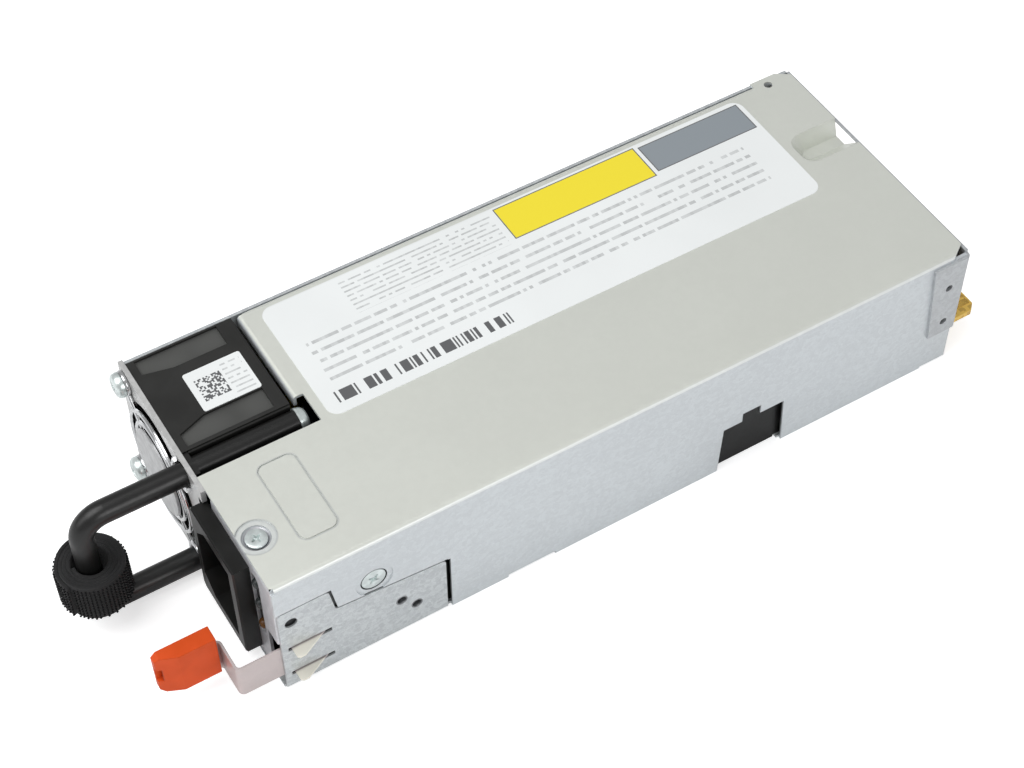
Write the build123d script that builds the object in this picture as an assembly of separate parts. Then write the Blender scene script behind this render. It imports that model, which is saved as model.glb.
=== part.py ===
from build123d import *
import math
import os

os.makedirs("parts", exist_ok=True)

# Case, in millimetres. X runs across, Y from the handle end to the connector end, Z up.
case_w = 73.5
case_l = 185.0
case_h = 39.0
sheet_t = 0.8
bend_outer = 1.2
bend_inner = bend_outer - sheet_t
seam = 0.3
front = -case_l / 2
rear = case_l / 2
half_w = case_w / 2
wall_in = half_w - sheet_t
roof_in = case_h - sheet_t
shell_rear = rear - sheet_t

# Clearances
round_gap = 0.3
slip_gap = 0.2
run_gap = 0.05

# Base pan
left_wall_top = roof_in
latch_plate_l = 41.4
latch_plate_front = 0.4
latch_plate_tall_l = 12.8
latch_plate_tall_z = 29.0
latch_plate_mid_z = 21.5
latch_plate_low_z = 19.0
inner_lip_z = 6.0
notch_from = 116.2
notch_to = 133.6

# Cover
cover_left = -half_w + sheet_t + 0.4
cover_lip_drop = 6.0
ledge_from = 173.3
corner_cut_x = 2.6
corner_cut_y = 3.9
side_cut_from = 115.6
side_cut_to = 134.4
side_cut_z = 15.3
side_cut_peak_z = 18.2
side_cut_peak_from = 121.6
side_cut_peak_to = 126.8
channel_depth = 5.0
channel_top_x0 = -15.6
channel_top_x1 = -5.6
channel_top_from = 169.2
channel_top_r = 3.4
channel_floor_x0 = -14.0
channel_floor_x1 = -10.7
channel_floor_from = 173.0
channel_floor_r = 1.5
corner_relief = 0.8
roof_hole_x = -34.0
roof_hole_y = 177.0
roof_hole_r = 1.1
pad_x0 = 6.2
pad_x1 = 29.0
pad_y0 = 11.6
pad_y1 = 21.0
pad_r = 2.2
pad_line = 0.35
pad_depth = 0.25
dimple_r = 4.6
dimple_depth = 0.35

# Flush cover screws
cover_screw_head_r = 3.0
cover_screw_head_h = 1.1
cover_screw_rim = 0.35
cover_screw_r = 1.4
cover_screw_l = 5.5
roof_screw_x = 22.6
roof_screw_y = 3.8
side_screw_y = 23.8
side_screw_z = 25.0

# Fan
fan_x = -18.05
fan_z = 19.75
fan_w = 35.7
fan_h = 37.9
fan_d = 26.6
fan_duct_r = 16.6
fan_hole_x = 15.1
fan_hole_z = 15.8
fan_screw_hole_r = 1.7
fan_hub_r = 10.0
fan_cup_wall = 1.2
fan_tip_gap = 0.6
fan_blades = 7
fan_cup_from = 3.2
fan_cup_to = 21.0
fan_floor_t = 3.0
fan_tube_r = 3.6
fan_bearing_r = 2.4
fan_bearing_l = 2.5
fan_shaft_r = 1.0
fan_magnet_t = 0.9
fan_board_t = 1.2
fan_pocket_depth = 0.8
fan_label_l = 14.3
fan_label_w = 12.0
fan_label_t = 0.15

# Fan plate and finger guard in front of the case
plate_t = 1.2
plate_right = 4.1
plate_tab_right = 6.0
plate_tab_z = 35.2
wire_r = 0.6
guard_ring_r = 15.2
guard_inner_r = 8.0
guard_mid_r = 12.2
guard_eye_r = 2.6
guard_hook_r = 3.8
guard_disc_r = 11.0
guard_disc_t = 0.6
fan_screw_head_r = 3.1
fan_screw_head_h = 2.0
fan_screw_r = 1.4
fan_screw_l = 9.0

# Handle and the strap rolled round it
rod_r = 2.8
handle_reach = 26.6
handle_bend_r = 6.0
handle_x = fan_x + fan_hole_x
handle_z_top = fan_z + fan_hole_z
handle_z_low = fan_z - fan_hole_z
collar_w = 7.2
collar_h = 5.4
collar_l = 1.4
washer_r = 3.1
washer_t = 0.6
handle_screw_head_r = 2.9
handle_screw_head_h = 1.9
strap_r = 9.0
strap_w = 12.4
strap_low = 8.6
strap_gap = 0.5
strap_shift = 0.5

# Mains inlet
inlet_x0 = 4.3
inlet_x1 = 25.9
inlet_z0 = 4.0
inlet_z1 = 34.7
inlet_t = 4.0
inlet_x = 14.9
inlet_z = (inlet_z0 + inlet_z1) / 2
cavity_w = 16.4
cavity_h = 24.2
cavity_clip = 4.5
cavity_floor = 12.0
inlet_wall = 1.3
inlet_back = 17.0
blade_w = 4.0
blade_t = 2.0
blade_pitch = 14.0
blade_x = 17.0
earth_x = 12.0
blade_tip = 0.6
blade_tail = 21.0

# Status lights
light_x = 28.0
light_r = 1.3
light_z_high = 31.0
light_z_mid = 23.4
light_z_low = 15.4
light_slot_w = 3.6
light_slot_z0 = 12.6
light_slot_z1 = 34.2
light_out = 0.5
light_board_y = 9.0
light_board_t = 1.2

# Front panel
panel_left = 8.0
panel_top_flange = 9.0
panel_side_flange = 30.0
panel_strip_x = 31.0
panel_strip_z = 17.4

# Latch strip, its teeth and its grip
strip_t = 0.6
strip_z0 = 5.0
strip_z1 = 15.2
strip_bend_r = 1.4
strip_front = -10.3
strip_tongue_x = 26.7
strip_tongue_front = -22.0
flex_y = 28.0
strip_end = 37.5
tooth_out = 2.9
tooth_from = 2.6
tooth_peak = 4.6
tooth_to = 11.8
slit_from = 1.9
slit_to = 12.6
slit_slack = 0.35
rivet_r = 1.1
rivet_head_r = 1.8
rivet_a_y = 29.9
rivet_a_z = 12.2
rivet_b_y = 33.6
rivet_b_z = 8.2
plate_hole_y = 3.4
plate_hole_z = 24.6
plate_hole_r = 1.5
grip_x0 = 24.7
grip_x1 = 28.7
grip_y0 = -25.0
grip_y1 = -11.2
grip_z0 = 6.1
grip_z1 = 19.2
grip_taper = 5.0

# Rear panel
flap_t = sheet_t
flap_from_top = 174.4
flap_from_low = 176.5
flap_z0 = 12.2
flap_z1 = 37.4
flap_hole_r = 1.0
vent_r = 2.0
vent_pitch = 4.7
vent_low_z = 13.7
vent_rows = 5
vent_columns = 13

# Boards
film_t = 0.3
board_z0 = 4.0
board_t = 1.6
board_from = 33.0
board_to = 168.0
board_half_w = 34.2
post_r = 2.6
card_top = 10.0
card_x0 = -30.4
card_x1 = 34.4
card_from = 150.0
card_out = 9.7
card_corner = 1.7
finger_count = 24
finger_l = 8.0
finger_w = 1.7
finger_t = 0.08


def slab(x0, x1, y0, y1, z0, z1):
    """A straight block between three pairs of limits."""
    middle = Pos((x0 + x1) / 2, (y0 + y1) / 2, (z0 + z1) / 2)
    return middle * Box(x1 - x0, y1 - y0, z1 - z0)


def round_x(r, x0, x1, y, z):
    """A cylinder along X."""
    return Pos((x0 + x1) / 2, y, z) * Rot(0, 90, 0) * Cylinder(r, x1 - x0)


def round_y(r, x, y0, y1, z):
    """A cylinder along Y."""
    return Pos(x, (y0 + y1) / 2, z) * Rot(90, 0, 0) * Cylinder(r, y1 - y0)


def round_z(r, x, y, z0, z1):
    """A cylinder along Z."""
    return Pos(x, y, (z0 + z1) / 2) * Cylinder(r, z1 - z0)


def soften(body, axis, r):
    """Rounds the edges of a block that run along one axis."""
    return fillet(body.edges().filter_by(axis), r)


def side_outline(points, x0, x1):
    """A flat outline in the YZ plane, given as Y and Z pairs, made into a plate from x0 to x1."""
    face = make_face(Polyline(*[(x0, y, z) for y, z in points], close=True))
    return extrude(face, amount=x1 - x0, dir=(1, 0, 0))


def plan_outline(points, z0, z1):
    """A flat outline in the XY plane made into a plate from z0 to z1."""
    face = make_face(Polyline(*[(x, y, z0) for x, y in points], close=True))
    return extrude(face, amount=z1 - z0, dir=(0, 0, 1))


def front_outline(points, y0, y1):
    """A flat outline in the XZ plane made into a plate from y0 to y1."""
    face = make_face(Polyline(*[(x, y0, z) for x, z in points], close=True))
    return extrude(face, amount=y1 - y0, dir=(0, 1, 0))


def save(body, node):
    """Writes one named piece."""
    export_step(body, f"parts/{node}.step")


def at_fan(dx, dz):
    """A place on the fan face, measured from its axis."""
    return fan_x + dx, fan_z + dz


# Case pieces: the base pan is one folded sheet with the bottom, the left wall and the latch plate
latch_outline = [
    (front + latch_plate_front, -1),
    (front + latch_plate_l, -1),
    (front + latch_plate_l, latch_plate_low_z),
    (front + latch_plate_tall_l + 1.2, latch_plate_mid_z),
    (front + latch_plate_tall_l, latch_plate_tall_z),
    (front + latch_plate_front, latch_plate_tall_z),
]
latch_region = side_outline(latch_outline, wall_in - 3, half_w + 3)
latch_region = fillet(latch_region.edges().filter_by(Axis.X).sort_by(Axis.Z)[2:], 1.0)
base = soften(slab(-half_w, half_w, front, shell_rear, 0, case_h * 2), Axis.Y, bend_outer)
hollow = soften(slab(-wall_in, wall_in, front - 1, rear, sheet_t, case_h * 2 + 1), Axis.Y, bend_inner)
base = base - hollow - slab(-50, 50, front - 1, rear, left_wall_top, 100)
right_side = slab(wall_in - 0.02, half_w + 1, front - 1, rear, -1, 100)
base = base - (right_side - latch_region)
base = base + (slab(wall_in - sheet_t, wall_in, front + 44, front + 112, 0, inner_lip_z))
base = base + (slab(wall_in - sheet_t, wall_in, front + 138, shell_rear - 4, 0, inner_lip_z))
base = base - slab(wall_in - 1.25, half_w, front + notch_from, front + notch_to, -1, 3)
for z in (strip_z0 + strip_t / 2, strip_z1 - strip_t / 2):
    half_slit = strip_t / 2 + slit_slack
    base = base - slab(wall_in - 1, half_w + 1, front + slit_from, front + slit_to, z - half_slit, z + half_slit)
base = base - round_x(plate_hole_r, wall_in - 1, half_w + 1, front + plate_hole_y, plate_hole_z)
for y, z in ((rivet_a_y, rivet_a_z), (rivet_b_y, rivet_b_z)):
    base = base - round_x(rivet_r + round_gap, wall_in - 1, half_w + 1, front + y, z)
save(base, "base_pan")

# Cover: roof, left lip inside the base wall, and the right wall
cover_box = slab(cover_left, half_w, front, shell_rear, -case_h, case_h)
cover = soften(cover_box, Axis.Y, bend_outer)
cover_in = slab(cover_left + sheet_t, wall_in, front - 1, rear, -case_h - 1, roof_in)
cover = cover - soften(cover_in, Axis.Y, bend_inner)
cover = cover - slab(-50, 50, front - 1, rear, -100, 0)
cover = cover - slab(-50, 0, front - 1, rear, -1, case_h - cover_lip_drop)
ledge = slab(-half_w, 0, front + ledge_from, shell_rear, roof_in, case_h)
cover = cover + fillet(ledge.edges().filter_by(Axis.Y).sort_by(Axis.X)[:2], 0.35)
grown = side_outline(latch_outline, wall_in - 0.5, half_w + 0.5)
grown_box = grown
for dy, dz in ((seam * 2, 0), (0, seam), (seam * 2, seam)):
    grown_box = grown_box + Pos(0, dy, dz) * grown
cover = cover - slab(wall_in - 0.01, half_w + 1, front - 1, front + latch_plate_l + seam * 4, -1, sheet_t * 3)
cover = cover - grown_box - slab(wall_in - 0.5, half_w + 1, front - 1, front + 3, -1, latch_plate_tall_z + seam)
cover = cover - slab(wall_in - 0.5, half_w + 1, front - 1, front + latch_plate_l + seam * 4, -1, latch_plate_low_z)

# Roof openings: the fan cut-out with a turned-down edge, the pressed channel and the hole
fan_cut_right = fan_x + fan_w / 2 + 2.1
fan_cut_rear = fan_d + 1.3
cover = cover - slab(-50, fan_cut_right, front - 1, front + fan_cut_rear, case_h - 20, case_h + 1)
notch = slab(handle_x - 3.9, fan_cut_right, front, front + 30.4, case_h - 8, case_h + 1)
lip_right = handle_x - 3.9
lip = slab(cover_left + sheet_t, lip_right, front + fan_cut_rear, front + fan_cut_rear + 1.6, case_h - 3, case_h)
lip = fillet(lip.edges().filter_by(Axis.X).sort_by(Axis.Z)[-2], 1.1)
lip_low = slab(-50, 0, front + fan_cut_rear + sheet_t, front + 40, case_h - 4, roof_in)
cover = cover - slab(-50, lip_right, front, front + fan_cut_rear + 1.6, case_h - 4, case_h + 1)
cover = cover + (lip - lip_low) - notch
side_wall_start = slab(cover_left, cover_left + sheet_t, front, front + fan_cut_rear + 1.6, 0, case_h)
cover = cover - side_wall_start


def channel_block(grow, drop):
    """The keying channel pressed into the roof: its hollow, or that grown sideways and let down."""
    x0 = channel_floor_x0 - grow
    x1 = channel_floor_x1 + grow
    y0 = front + channel_floor_from - grow
    y1 = rear + 5
    low_z = case_h - channel_depth - drop
    low = Pos((x0 + x1) / 2, (y0 + y1) / 2, low_z) * RectangleRounded(x1 - x0, y1 - y0, channel_floor_r + grow / 2)
    x0 = channel_top_x0 - grow
    x1 = channel_top_x1 + grow
    y0 = front + channel_top_from - grow
    high = Pos((x0 + x1) / 2, (y0 + y1) / 2, case_h - drop) * RectangleRounded(x1 - x0, y1 - y0, channel_top_r + grow / 2)
    return loft([low, high])


channel_shell = channel_block(sheet_t, sheet_t) - slab(-50, 50, shell_rear, rear + 20, 0, 100)
cover = cover + channel_shell - channel_block(0, 0)
cover = cover - round_z(roof_hole_r, roof_hole_x, front + roof_hole_y, case_h - 2, case_h + 1)
for side in (-1, 1):
    corner = plan_outline(
        [
            (side * half_w, shell_rear - corner_cut_y),
            (side * (half_w - corner_cut_x), shell_rear),
            (side * (half_w + 3), shell_rear + 3),
        ],
        case_h - 1.4,
        case_h + 1,
    )
    cover = cover - corner

# Relief at the corner where roof, wall and front panel meet
cover = cover - slab(
    half_w - corner_relief, half_w + 1,
    front - 1, front + corner_relief,
    case_h - bend_outer - corner_relief / 2, case_h + 1,
)

# Pressed outline beside the front screw
pad = soften(slab(pad_x0, pad_x1, front + pad_y0, front + pad_y1, case_h - pad_depth, case_h + 1), Axis.Z, pad_r)
pad_core = slab(
    pad_x0 + pad_line, pad_x1 - pad_line,
    front + pad_y0 + pad_line, front + pad_y1 - pad_line,
    case_h - 1, case_h + 2,
)
cover = cover - (pad - soften(pad_core, Axis.Z, pad_r - pad_line))

# Side wall openings
side_window = side_outline(
    [
        (front + side_cut_from, -1),
        (front + side_cut_to, -1),
        (front + side_cut_to - 0.8, side_cut_z),
        (front + side_cut_peak_to, side_cut_z),
        (front + side_cut_peak_to, side_cut_peak_z),
        (front + side_cut_peak_from, side_cut_peak_z),
        (front + side_cut_peak_from, side_cut_z),
        (front + side_cut_from + 0.8, side_cut_z),
    ],
    wall_in - 1,
    half_w + 1,
)
cover = cover - side_window
for y0, y1, z in ((57.5, 70.2, 0.9), (176.6, 190.0, 0.6)):
    cover = cover - slab(wall_in - 1, half_w + 1, front + y0, front + y1, -1, z)

# Dimples and countersinks for the two flush screws
sink_r = cover_screw_head_r + round_gap
sink_low_r = cover_screw_r + round_gap


def sink_tool():
    """The hollow round one flush screw, with its head face at height zero and the shank below."""
    dimple = Pos(0, 0, 0.5) * Cylinder(dimple_r, 1.0)
    rim = Pos(0, 0, -cover_screw_rim / 2) * Cylinder(sink_r, cover_screw_rim + 0.02)
    cone_h = cover_screw_head_h
    cone = Pos(0, 0, -cover_screw_rim - cone_h / 2) * Cone(sink_low_r, sink_r, cone_h)
    shank = Pos(0, 0, -cover_screw_l / 2) * Cylinder(sink_low_r, cover_screw_l)
    return dimple + rim + cone + shank


def flush_screw():
    """A flush screw with its head face at height zero."""
    rim = Pos(0, 0, -cover_screw_rim / 2) * Cylinder(cover_screw_head_r, cover_screw_rim)
    cone_h = cover_screw_head_h
    cone = Pos(0, 0, -cover_screw_rim - cone_h / 2) * Cone(cover_screw_r, cover_screw_head_r, cone_h)
    shank = Pos(0, 0, -cover_screw_l / 2 - 0.5) * Cylinder(cover_screw_r, cover_screw_l - 1)
    return rim + cone + shank


roof_screw_at = Pos(roof_screw_x, front + roof_screw_y, case_h - dimple_depth)
side_screw_at = Pos(half_w - dimple_depth, front + side_screw_y, side_screw_z) * Rot(0, 90, 0)
cover = cover - roof_screw_at * sink_tool() - side_screw_at * sink_tool()
save(cover, "top_cover")
save(Compound(children=[roof_screw_at * flush_screw(), side_screw_at * flush_screw()]), "cover_screws")

# Front panel: face with a top flange and a side flange behind it
panel = slab(panel_left, wall_in, front, front + panel_side_flange, sheet_t, roof_in)
panel = fillet(panel.edges().filter_by(Axis.X).sort_by(Axis.Y)[:2], bend_outer - 0.2)
panel_in = slab(panel_left - 1, wall_in - sheet_t, front + sheet_t, front + 99, sheet_t * 2, roof_in - sheet_t)
panel = fillet(panel.edges().filter_by(Axis.Y).sort_by(Axis.Z)[-1], bend_inner + 0.1)
panel = panel - panel_in
panel = panel - slab(0, wall_in - sheet_t, front + panel_top_flange, front + 99, 0, case_h)
panel = panel - slab(0, 99, front + panel_top_flange, front + 99, roof_in - 3, case_h)
panel = panel - slab(panel_strip_x, 99, front - 1, front + 99, -1, panel_strip_z)
panel = panel - slab(0, 99, front + 7, front + 99, -1, 8)
inlet_cut = slab(
    0, inlet_x + cavity_w / 2 + inlet_wall + slip_gap,
    front - 1, front + 2,
    inlet_z - cavity_h / 2 - inlet_wall - slip_gap, inlet_z + cavity_h / 2 + inlet_wall + slip_gap,
)
panel = panel - inlet_cut
half_slot = light_slot_w / 2
slot = slab(light_x - half_slot, light_x + half_slot, front - 1, front + 2, light_slot_z0, light_slot_z1)
slot = soften(slot, Axis.Y, half_slot - 0.1)
panel = panel - slot - roof_screw_at * sink_tool() - side_screw_at * sink_tool()
save(panel, "front_panel")

# Rear panel with vents, the card opening and the flap over the right wall
back = slab(-wall_in, wall_in, shell_rear, rear, sheet_t / 2, roof_in)
flap_body = slab(wall_in - 2, half_w + flap_t, front + 170, rear, flap_z0, flap_z1)
flap_body = fillet(flap_body.edges().filter_by(Axis.Z).sort_by(Axis.Y)[-1], bend_outer)
flap_hollow = slab(wall_in - 3, half_w, front + 169, shell_rear, 0, case_h)
flap_cut = side_outline(
    [
        (front + 169, flap_z0 - 1),
        (front + flap_from_low, flap_z0 - 1),
        (front + flap_from_low, flap_z0),
        (front + flap_from_top, flap_z1),
        (front + flap_from_top, flap_z1 + 1),
        (front + 169, flap_z1 + 1),
    ],
    half_w - 1,
    half_w + 3,
)
back = back + (flap_body - flap_hollow - flap_cut)
for y, z in ((179.9, 28.8), (180.4, 16.5)):
    back = back - round_x(flap_hole_r, half_w - 0.5, half_w + 2, front + y, z)
card_low = card_top - board_t
back = back - slab(card_x0 - 0.6, card_x1 + 0.6, shell_rear - 1, rear + 1, card_low - 0.6, card_top + 0.6)
back = back - channel_block(sheet_t + seam, sheet_t + seam)
vents = []
for row in range(vent_rows):
    offset = vent_pitch / 2 if row % 2 else 0
    for column in range(vent_columns):
        x = -wall_in + 5.4 + offset + column * vent_pitch
        z = vent_low_z + row * vent_pitch * math.sqrt(3) / 2
        hexagon = Pos(x, rear - sheet_t / 2, z) * Rot(90, 0, 0) * extrude(RegularPolygon(vent_r, 6), 2, both=True)
        vents.append(hexagon)
back = back - vents
save(back, "rear_panel")

# Insulating film on the bottom and inside the right wall
film_right = wall_in - sheet_t
film = slab(-wall_in + 1.5, film_right, front + board_from, front + 176, sheet_t, sheet_t + film_t)
film_side = slab(film_right - film_t, film_right, front + board_from + 6, front + 176, sheet_t, 30)
film_tab = slab(film_right - film_t, film_right, front + notch_from + 0.5, front + notch_to - 0.5, 0.1, sheet_t + 0.1)
post_places = [(-29.5, 38), (27.5, 46), (-29.5, 104), (29.5, 104), (-29.5, 162), (29.5, 162)]
for x, y in post_places:
    film = film - round_z(post_r + round_gap, x, front + y, 0, 3)
save(film + film_side + film_tab, "insulating_film")

# Fan housing: duct, floor with struts, bearing tube, corner seats for the handle
fan_x0 = fan_x - fan_w / 2
fan_x1 = fan_x + fan_w / 2
fan_z0 = fan_z - fan_h / 2
fan_z1 = fan_z + fan_h / 2
fan_rear = front + fan_d
fan_floor = fan_rear - fan_floor_t
housing = soften(slab(fan_x0, fan_x1, front, fan_rear, fan_z0, fan_z1), Axis.Y, 0.8)
housing = housing - round_y(fan_duct_r, fan_x, front - 1, fan_rear + 1, fan_z)
housing = housing + round_y(fan_hub_r, fan_x, fan_floor, fan_rear, fan_z)
for turn in (0, 90, 180, 270):
    strut = slab(fan_hub_r - 1, fan_duct_r + 1, fan_rear - 2.2, fan_rear, -0.9, 0.9)
    housing = housing + Pos(fan_x, 0, fan_z) * Rot(0, turn + 20, 0) * strut
tube_front = front + 9.5
housing = housing + round_y(fan_tube_r, fan_x, tube_front, fan_floor + 0.5, fan_z)
bearing_bore = fan_bearing_r + round_gap
land_front = tube_front + fan_bearing_l
land_rear = fan_floor - fan_bearing_l
housing = housing - round_y(bearing_bore, fan_x, tube_front - 1, land_front, fan_z)
housing = housing - round_y(bearing_bore, fan_x, land_rear, fan_rear + 1, fan_z)
housing = housing - round_y(fan_shaft_r + round_gap, fan_x, tube_front, fan_rear, fan_z)
rod_seat = rod_r + round_gap
for rod_z, far_z in ((handle_z_top, case_h + 2), (handle_z_low, -2)):
    low = min(rod_z, far_z)
    high = max(rod_z, far_z)
    housing = housing - round_y(rod_seat, handle_x, front - 1, fan_rear + 1, rod_z)
    housing = housing - slab(handle_x - rod_seat, fan_x1 + 1, front - 1, fan_rear + 1, low, high)
    housing = housing - slab(handle_x, fan_x1 + 1, front - 1, fan_rear + 1, rod_z - rod_seat, rod_z + rod_seat)
    housing = housing - slab(
        handle_x - collar_w / 2 - slip_gap, fan_x1 + 1,
        front - 1, front + collar_l + slip_gap,
        rod_z - collar_h / 2 - slip_gap, rod_z + collar_h / 2 + slip_gap,
    )
    housing = housing - round_y(fan_screw_hole_r, fan_x - fan_hole_x, front - 1, front + 14, rod_z)
pocket_left = [(-35.0, 2.0), (-30.6, 2.0), (-28.9, 9.2), (-28.9, 22.6), (-35.0, 22.6)]
pocket_right = [(-7.0, 2.0), (-10.8, 2.0), (-13.3, 9.0), (-13.3, 23.4), (-7.0, 23.4)]
for pocket in (pocket_left, pocket_right):
    placed = [(x, front + y) for x, y in pocket]
    housing = housing - plan_outline(placed, fan_z1 - fan_pocket_depth, fan_z1 + 1)
save(housing, "fan_housing")

# Fan rotor: cup with twisted blades
cup_front = front + fan_cup_from
cup_rear = front + fan_cup_to
cup_in = fan_hub_r - fan_cup_wall
rotor = round_y(fan_hub_r, fan_x, cup_front, cup_rear, fan_z)
rotor = fillet(rotor.edges().sort_by(Axis.Y)[0], 1.0)
rotor = rotor - round_y(cup_in, fan_x, cup_front + fan_cup_wall, cup_rear + 1, fan_z)
blade_mid = (fan_cup_from + fan_cup_to) / 2
tip_r = fan_duct_r - fan_tip_gap
hub_section = Pos(cup_in + 0.1, 0, 0) * Rot(0, 90, 0) * Rot(0, 0, 34) * Rectangle(1.4, 15.5)
tip_section = Pos(tip_r + 0.3, 0, 0) * Rot(0, 90, 0) * Rot(0, 0, 56) * Rectangle(1.0, 16.5)
blade = loft([hub_section, tip_section])
sweep_limit = Rot(90, 0, 0) * Cylinder(tip_r, fan_cup_to - fan_cup_from - 1)
blade = blade & sweep_limit
for index in range(fan_blades):
    placed = Pos(fan_x, front + blade_mid, fan_z) * Rot(0, 360 / fan_blades * index, 0) * blade
    rotor = rotor + placed
save(rotor, "fan_rotor")
shaft = round_y(fan_shaft_r, fan_x, cup_front + fan_cup_wall, fan_floor - 0.3, fan_z)
save(shaft, "fan_shaft")
bearings = []
for y0 in (tube_front, land_rear):
    ring = round_y(fan_bearing_r, fan_x, y0, y0 + fan_bearing_l, fan_z)
    bearings.append(ring - round_y(fan_shaft_r + run_gap, fan_x, y0 - 1, y0 + fan_bearing_l + 1, fan_z))
save(Compound(children=bearings), "fan_bearings")
magnet_r = cup_in - round_gap
magnet = round_y(magnet_r, fan_x, cup_front + fan_cup_wall, cup_rear - 3, fan_z)
magnet = magnet - round_y(magnet_r - fan_magnet_t, fan_x, front, fan_rear, fan_z)
save(magnet, "fan_magnet")
stator_r = magnet_r - fan_magnet_t - 0.4
fan_board_front = fan_floor - fan_board_t
stator = round_y(stator_r, fan_x, front + 11.5, fan_board_front, fan_z)
stator = stator - round_y(fan_tube_r + round_gap, fan_x, front, fan_rear, fan_z)
for turn in (0, 90, 180, 270):
    gap_cut = slab(5.2, 9, front + 10, fan_board_front - 1.2, -1.2, 1.2)
    stator = stator - Pos(fan_x, 0, fan_z) * Rot(0, turn + 45, 0) * gap_cut
save(stator, "fan_stator")
circuit = round_y(cup_in - 0.6, fan_x, fan_board_front, fan_floor, fan_z)
save(circuit - round_y(fan_tube_r + round_gap, fan_x, front, fan_rear, fan_z), "fan_circuit")
label_x = -19.6
label_y = front + 16.6
fan_label = slab(
    label_x - fan_label_w / 2, label_x + fan_label_w / 2,
    label_y - fan_label_l / 2, label_y + fan_label_l / 2,
    fan_z1, fan_z1 + fan_label_t,
)
save(soften(fan_label, Axis.Z, 0.6), "fan_label")

# Fan plate in front of the case
plate_front = front - plate_t
fan_plate = front_outline(
    [
        (-half_w, 0.2),
        (plate_right, 0.2),
        (plate_right, plate_tab_z),
        (plate_tab_right, plate_tab_z),
        (plate_tab_right, case_h),
        (-half_w, case_h),
    ],
    plate_front,
    front,
)
fan_plate = fan_plate - round_y(fan_duct_r + 0.4, fan_x, plate_front - 1, front + 1, fan_z)
for rod_z in (handle_z_top, handle_z_low):
    fan_plate = fan_plate - round_y(rod_seat, handle_x, plate_front - 1, front + 1, rod_z)
    fan_plate = fan_plate - round_y(fan_screw_hole_r, fan_x - fan_hole_x, plate_front - 1, front + 1, rod_z)
save(fan_plate, "fan_plate")

# Finger guard: welded wire rings and four arms, with an eye at each screw and a hook at each handle leg
wire_y = plate_front - wire_r
guard = Pos(fan_x, wire_y, fan_z) * Rot(90, 0, 0) * Torus(guard_ring_r, wire_r)
guard = guard + Pos(fan_x, wire_y, fan_z) * Rot(90, 0, 0) * Torus(guard_mid_r, wire_r)
corner_reach = math.hypot(fan_hole_x, fan_hole_z)
corner_turn = math.degrees(math.atan2(fan_hole_z, fan_hole_x))
for side_x, side_z in ((-1, 1), (-1, -1), (1, 1), (1, -1)):
    eye_r = guard_eye_r if side_x < 0 else guard_hook_r
    eye_x, eye_z = at_fan(side_x * fan_hole_x, side_z * fan_hole_z)
    eye = Rot(90, 0, 0) * Torus(eye_r, wire_r)
    turn = corner_turn if side_x > 0 else 180 - corner_turn
    if side_x > 0:
        eye = eye - Rot(0, -side_z * turn, 0) * slab(0, 9, -3, 3, -9, 9)
    guard = guard + Pos(eye_x, wire_y, eye_z) * eye
    arm_l = corner_reach - eye_r - guard_inner_r
    arm = Pos(guard_inner_r + arm_l / 2, 0, 0) * Rot(0, 90, 0) * Cylinder(wire_r, arm_l)
    guard = guard + Pos(fan_x, wire_y, fan_z) * Rot(0, -side_z * turn, 0) * arm
save(guard, "finger_guard")
disc_rear = plate_front - wire_r * 2
disc = round_y(guard_disc_r, fan_x, disc_rear - guard_disc_t, disc_rear, fan_z)
save(chamfer(disc.edges().sort_by(Axis.Y)[0], 0.25), "guard_disc")

# Pan head screws at the two left corners of the fan
screws = []
for rod_z in (handle_z_top, handle_z_low):
    x = fan_x - fan_hole_x
    head = round_y(fan_screw_head_r, x, disc_rear - fan_screw_head_h, disc_rear, rod_z)
    head = fillet(head.edges().sort_by(Axis.Y)[0], 1.3)
    screws.append(head + round_y(fan_screw_r, x, disc_rear - 1, disc_rear + fan_screw_l, rod_z))
save(Compound(children=screws), "fan_screws")

# Handle: a bent rod with a flat collar behind the fan plate on each leg
rod_end = fan_rear
rod_front = front - handle_reach
path = FilletPolyline(
    (handle_x, rod_end, handle_z_top),
    (handle_x, rod_front, handle_z_top),
    (handle_x, rod_front, handle_z_low),
    (handle_x, rod_end, handle_z_low),
    radius=handle_bend_r,
)
rod_profile = Plane(origin=(handle_x, rod_end, handle_z_top), z_dir=(0, -1, 0)) * Circle(rod_r)
handle = sweep(rod_profile, path=path)
for rod_z in (handle_z_top, handle_z_low):
    handle = handle + slab(
        handle_x - collar_w / 2, handle_x + collar_w / 2,
        front, front + collar_l,
        rod_z - collar_h / 2, rod_z + collar_h / 2,
    )
save(handle, "handle")
washers = []
handle_screws = []
for rod_z in (handle_z_top, handle_z_low):
    washers.append(round_y(washer_r, handle_x, rod_end, rod_end + washer_t, rod_z))
    head = round_y(handle_screw_head_r, handle_x, rod_end + washer_t, rod_end + washer_t + handle_screw_head_h, rod_z)
    handle_screws.append(fillet(head.edges().sort_by(Axis.Y)[-1], 1.1))
save(Compound(children=washers), "handle_washers")
save(Compound(children=handle_screws), "handle_screws")

# Strap rolled round the bight of the handle
strap_y = rod_front + strap_shift
strap = round_z(strap_r, handle_x, strap_y, strap_low, strap_low + strap_w)
strap = chamfer(strap.edges().filter_by(GeomType.CIRCLE), 0.4)
strap = strap - round_z(rod_r + strap_gap, handle_x, rod_front, strap_low - 1, strap_low + strap_w + 1)
save(strap, "cable_strap")

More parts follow.
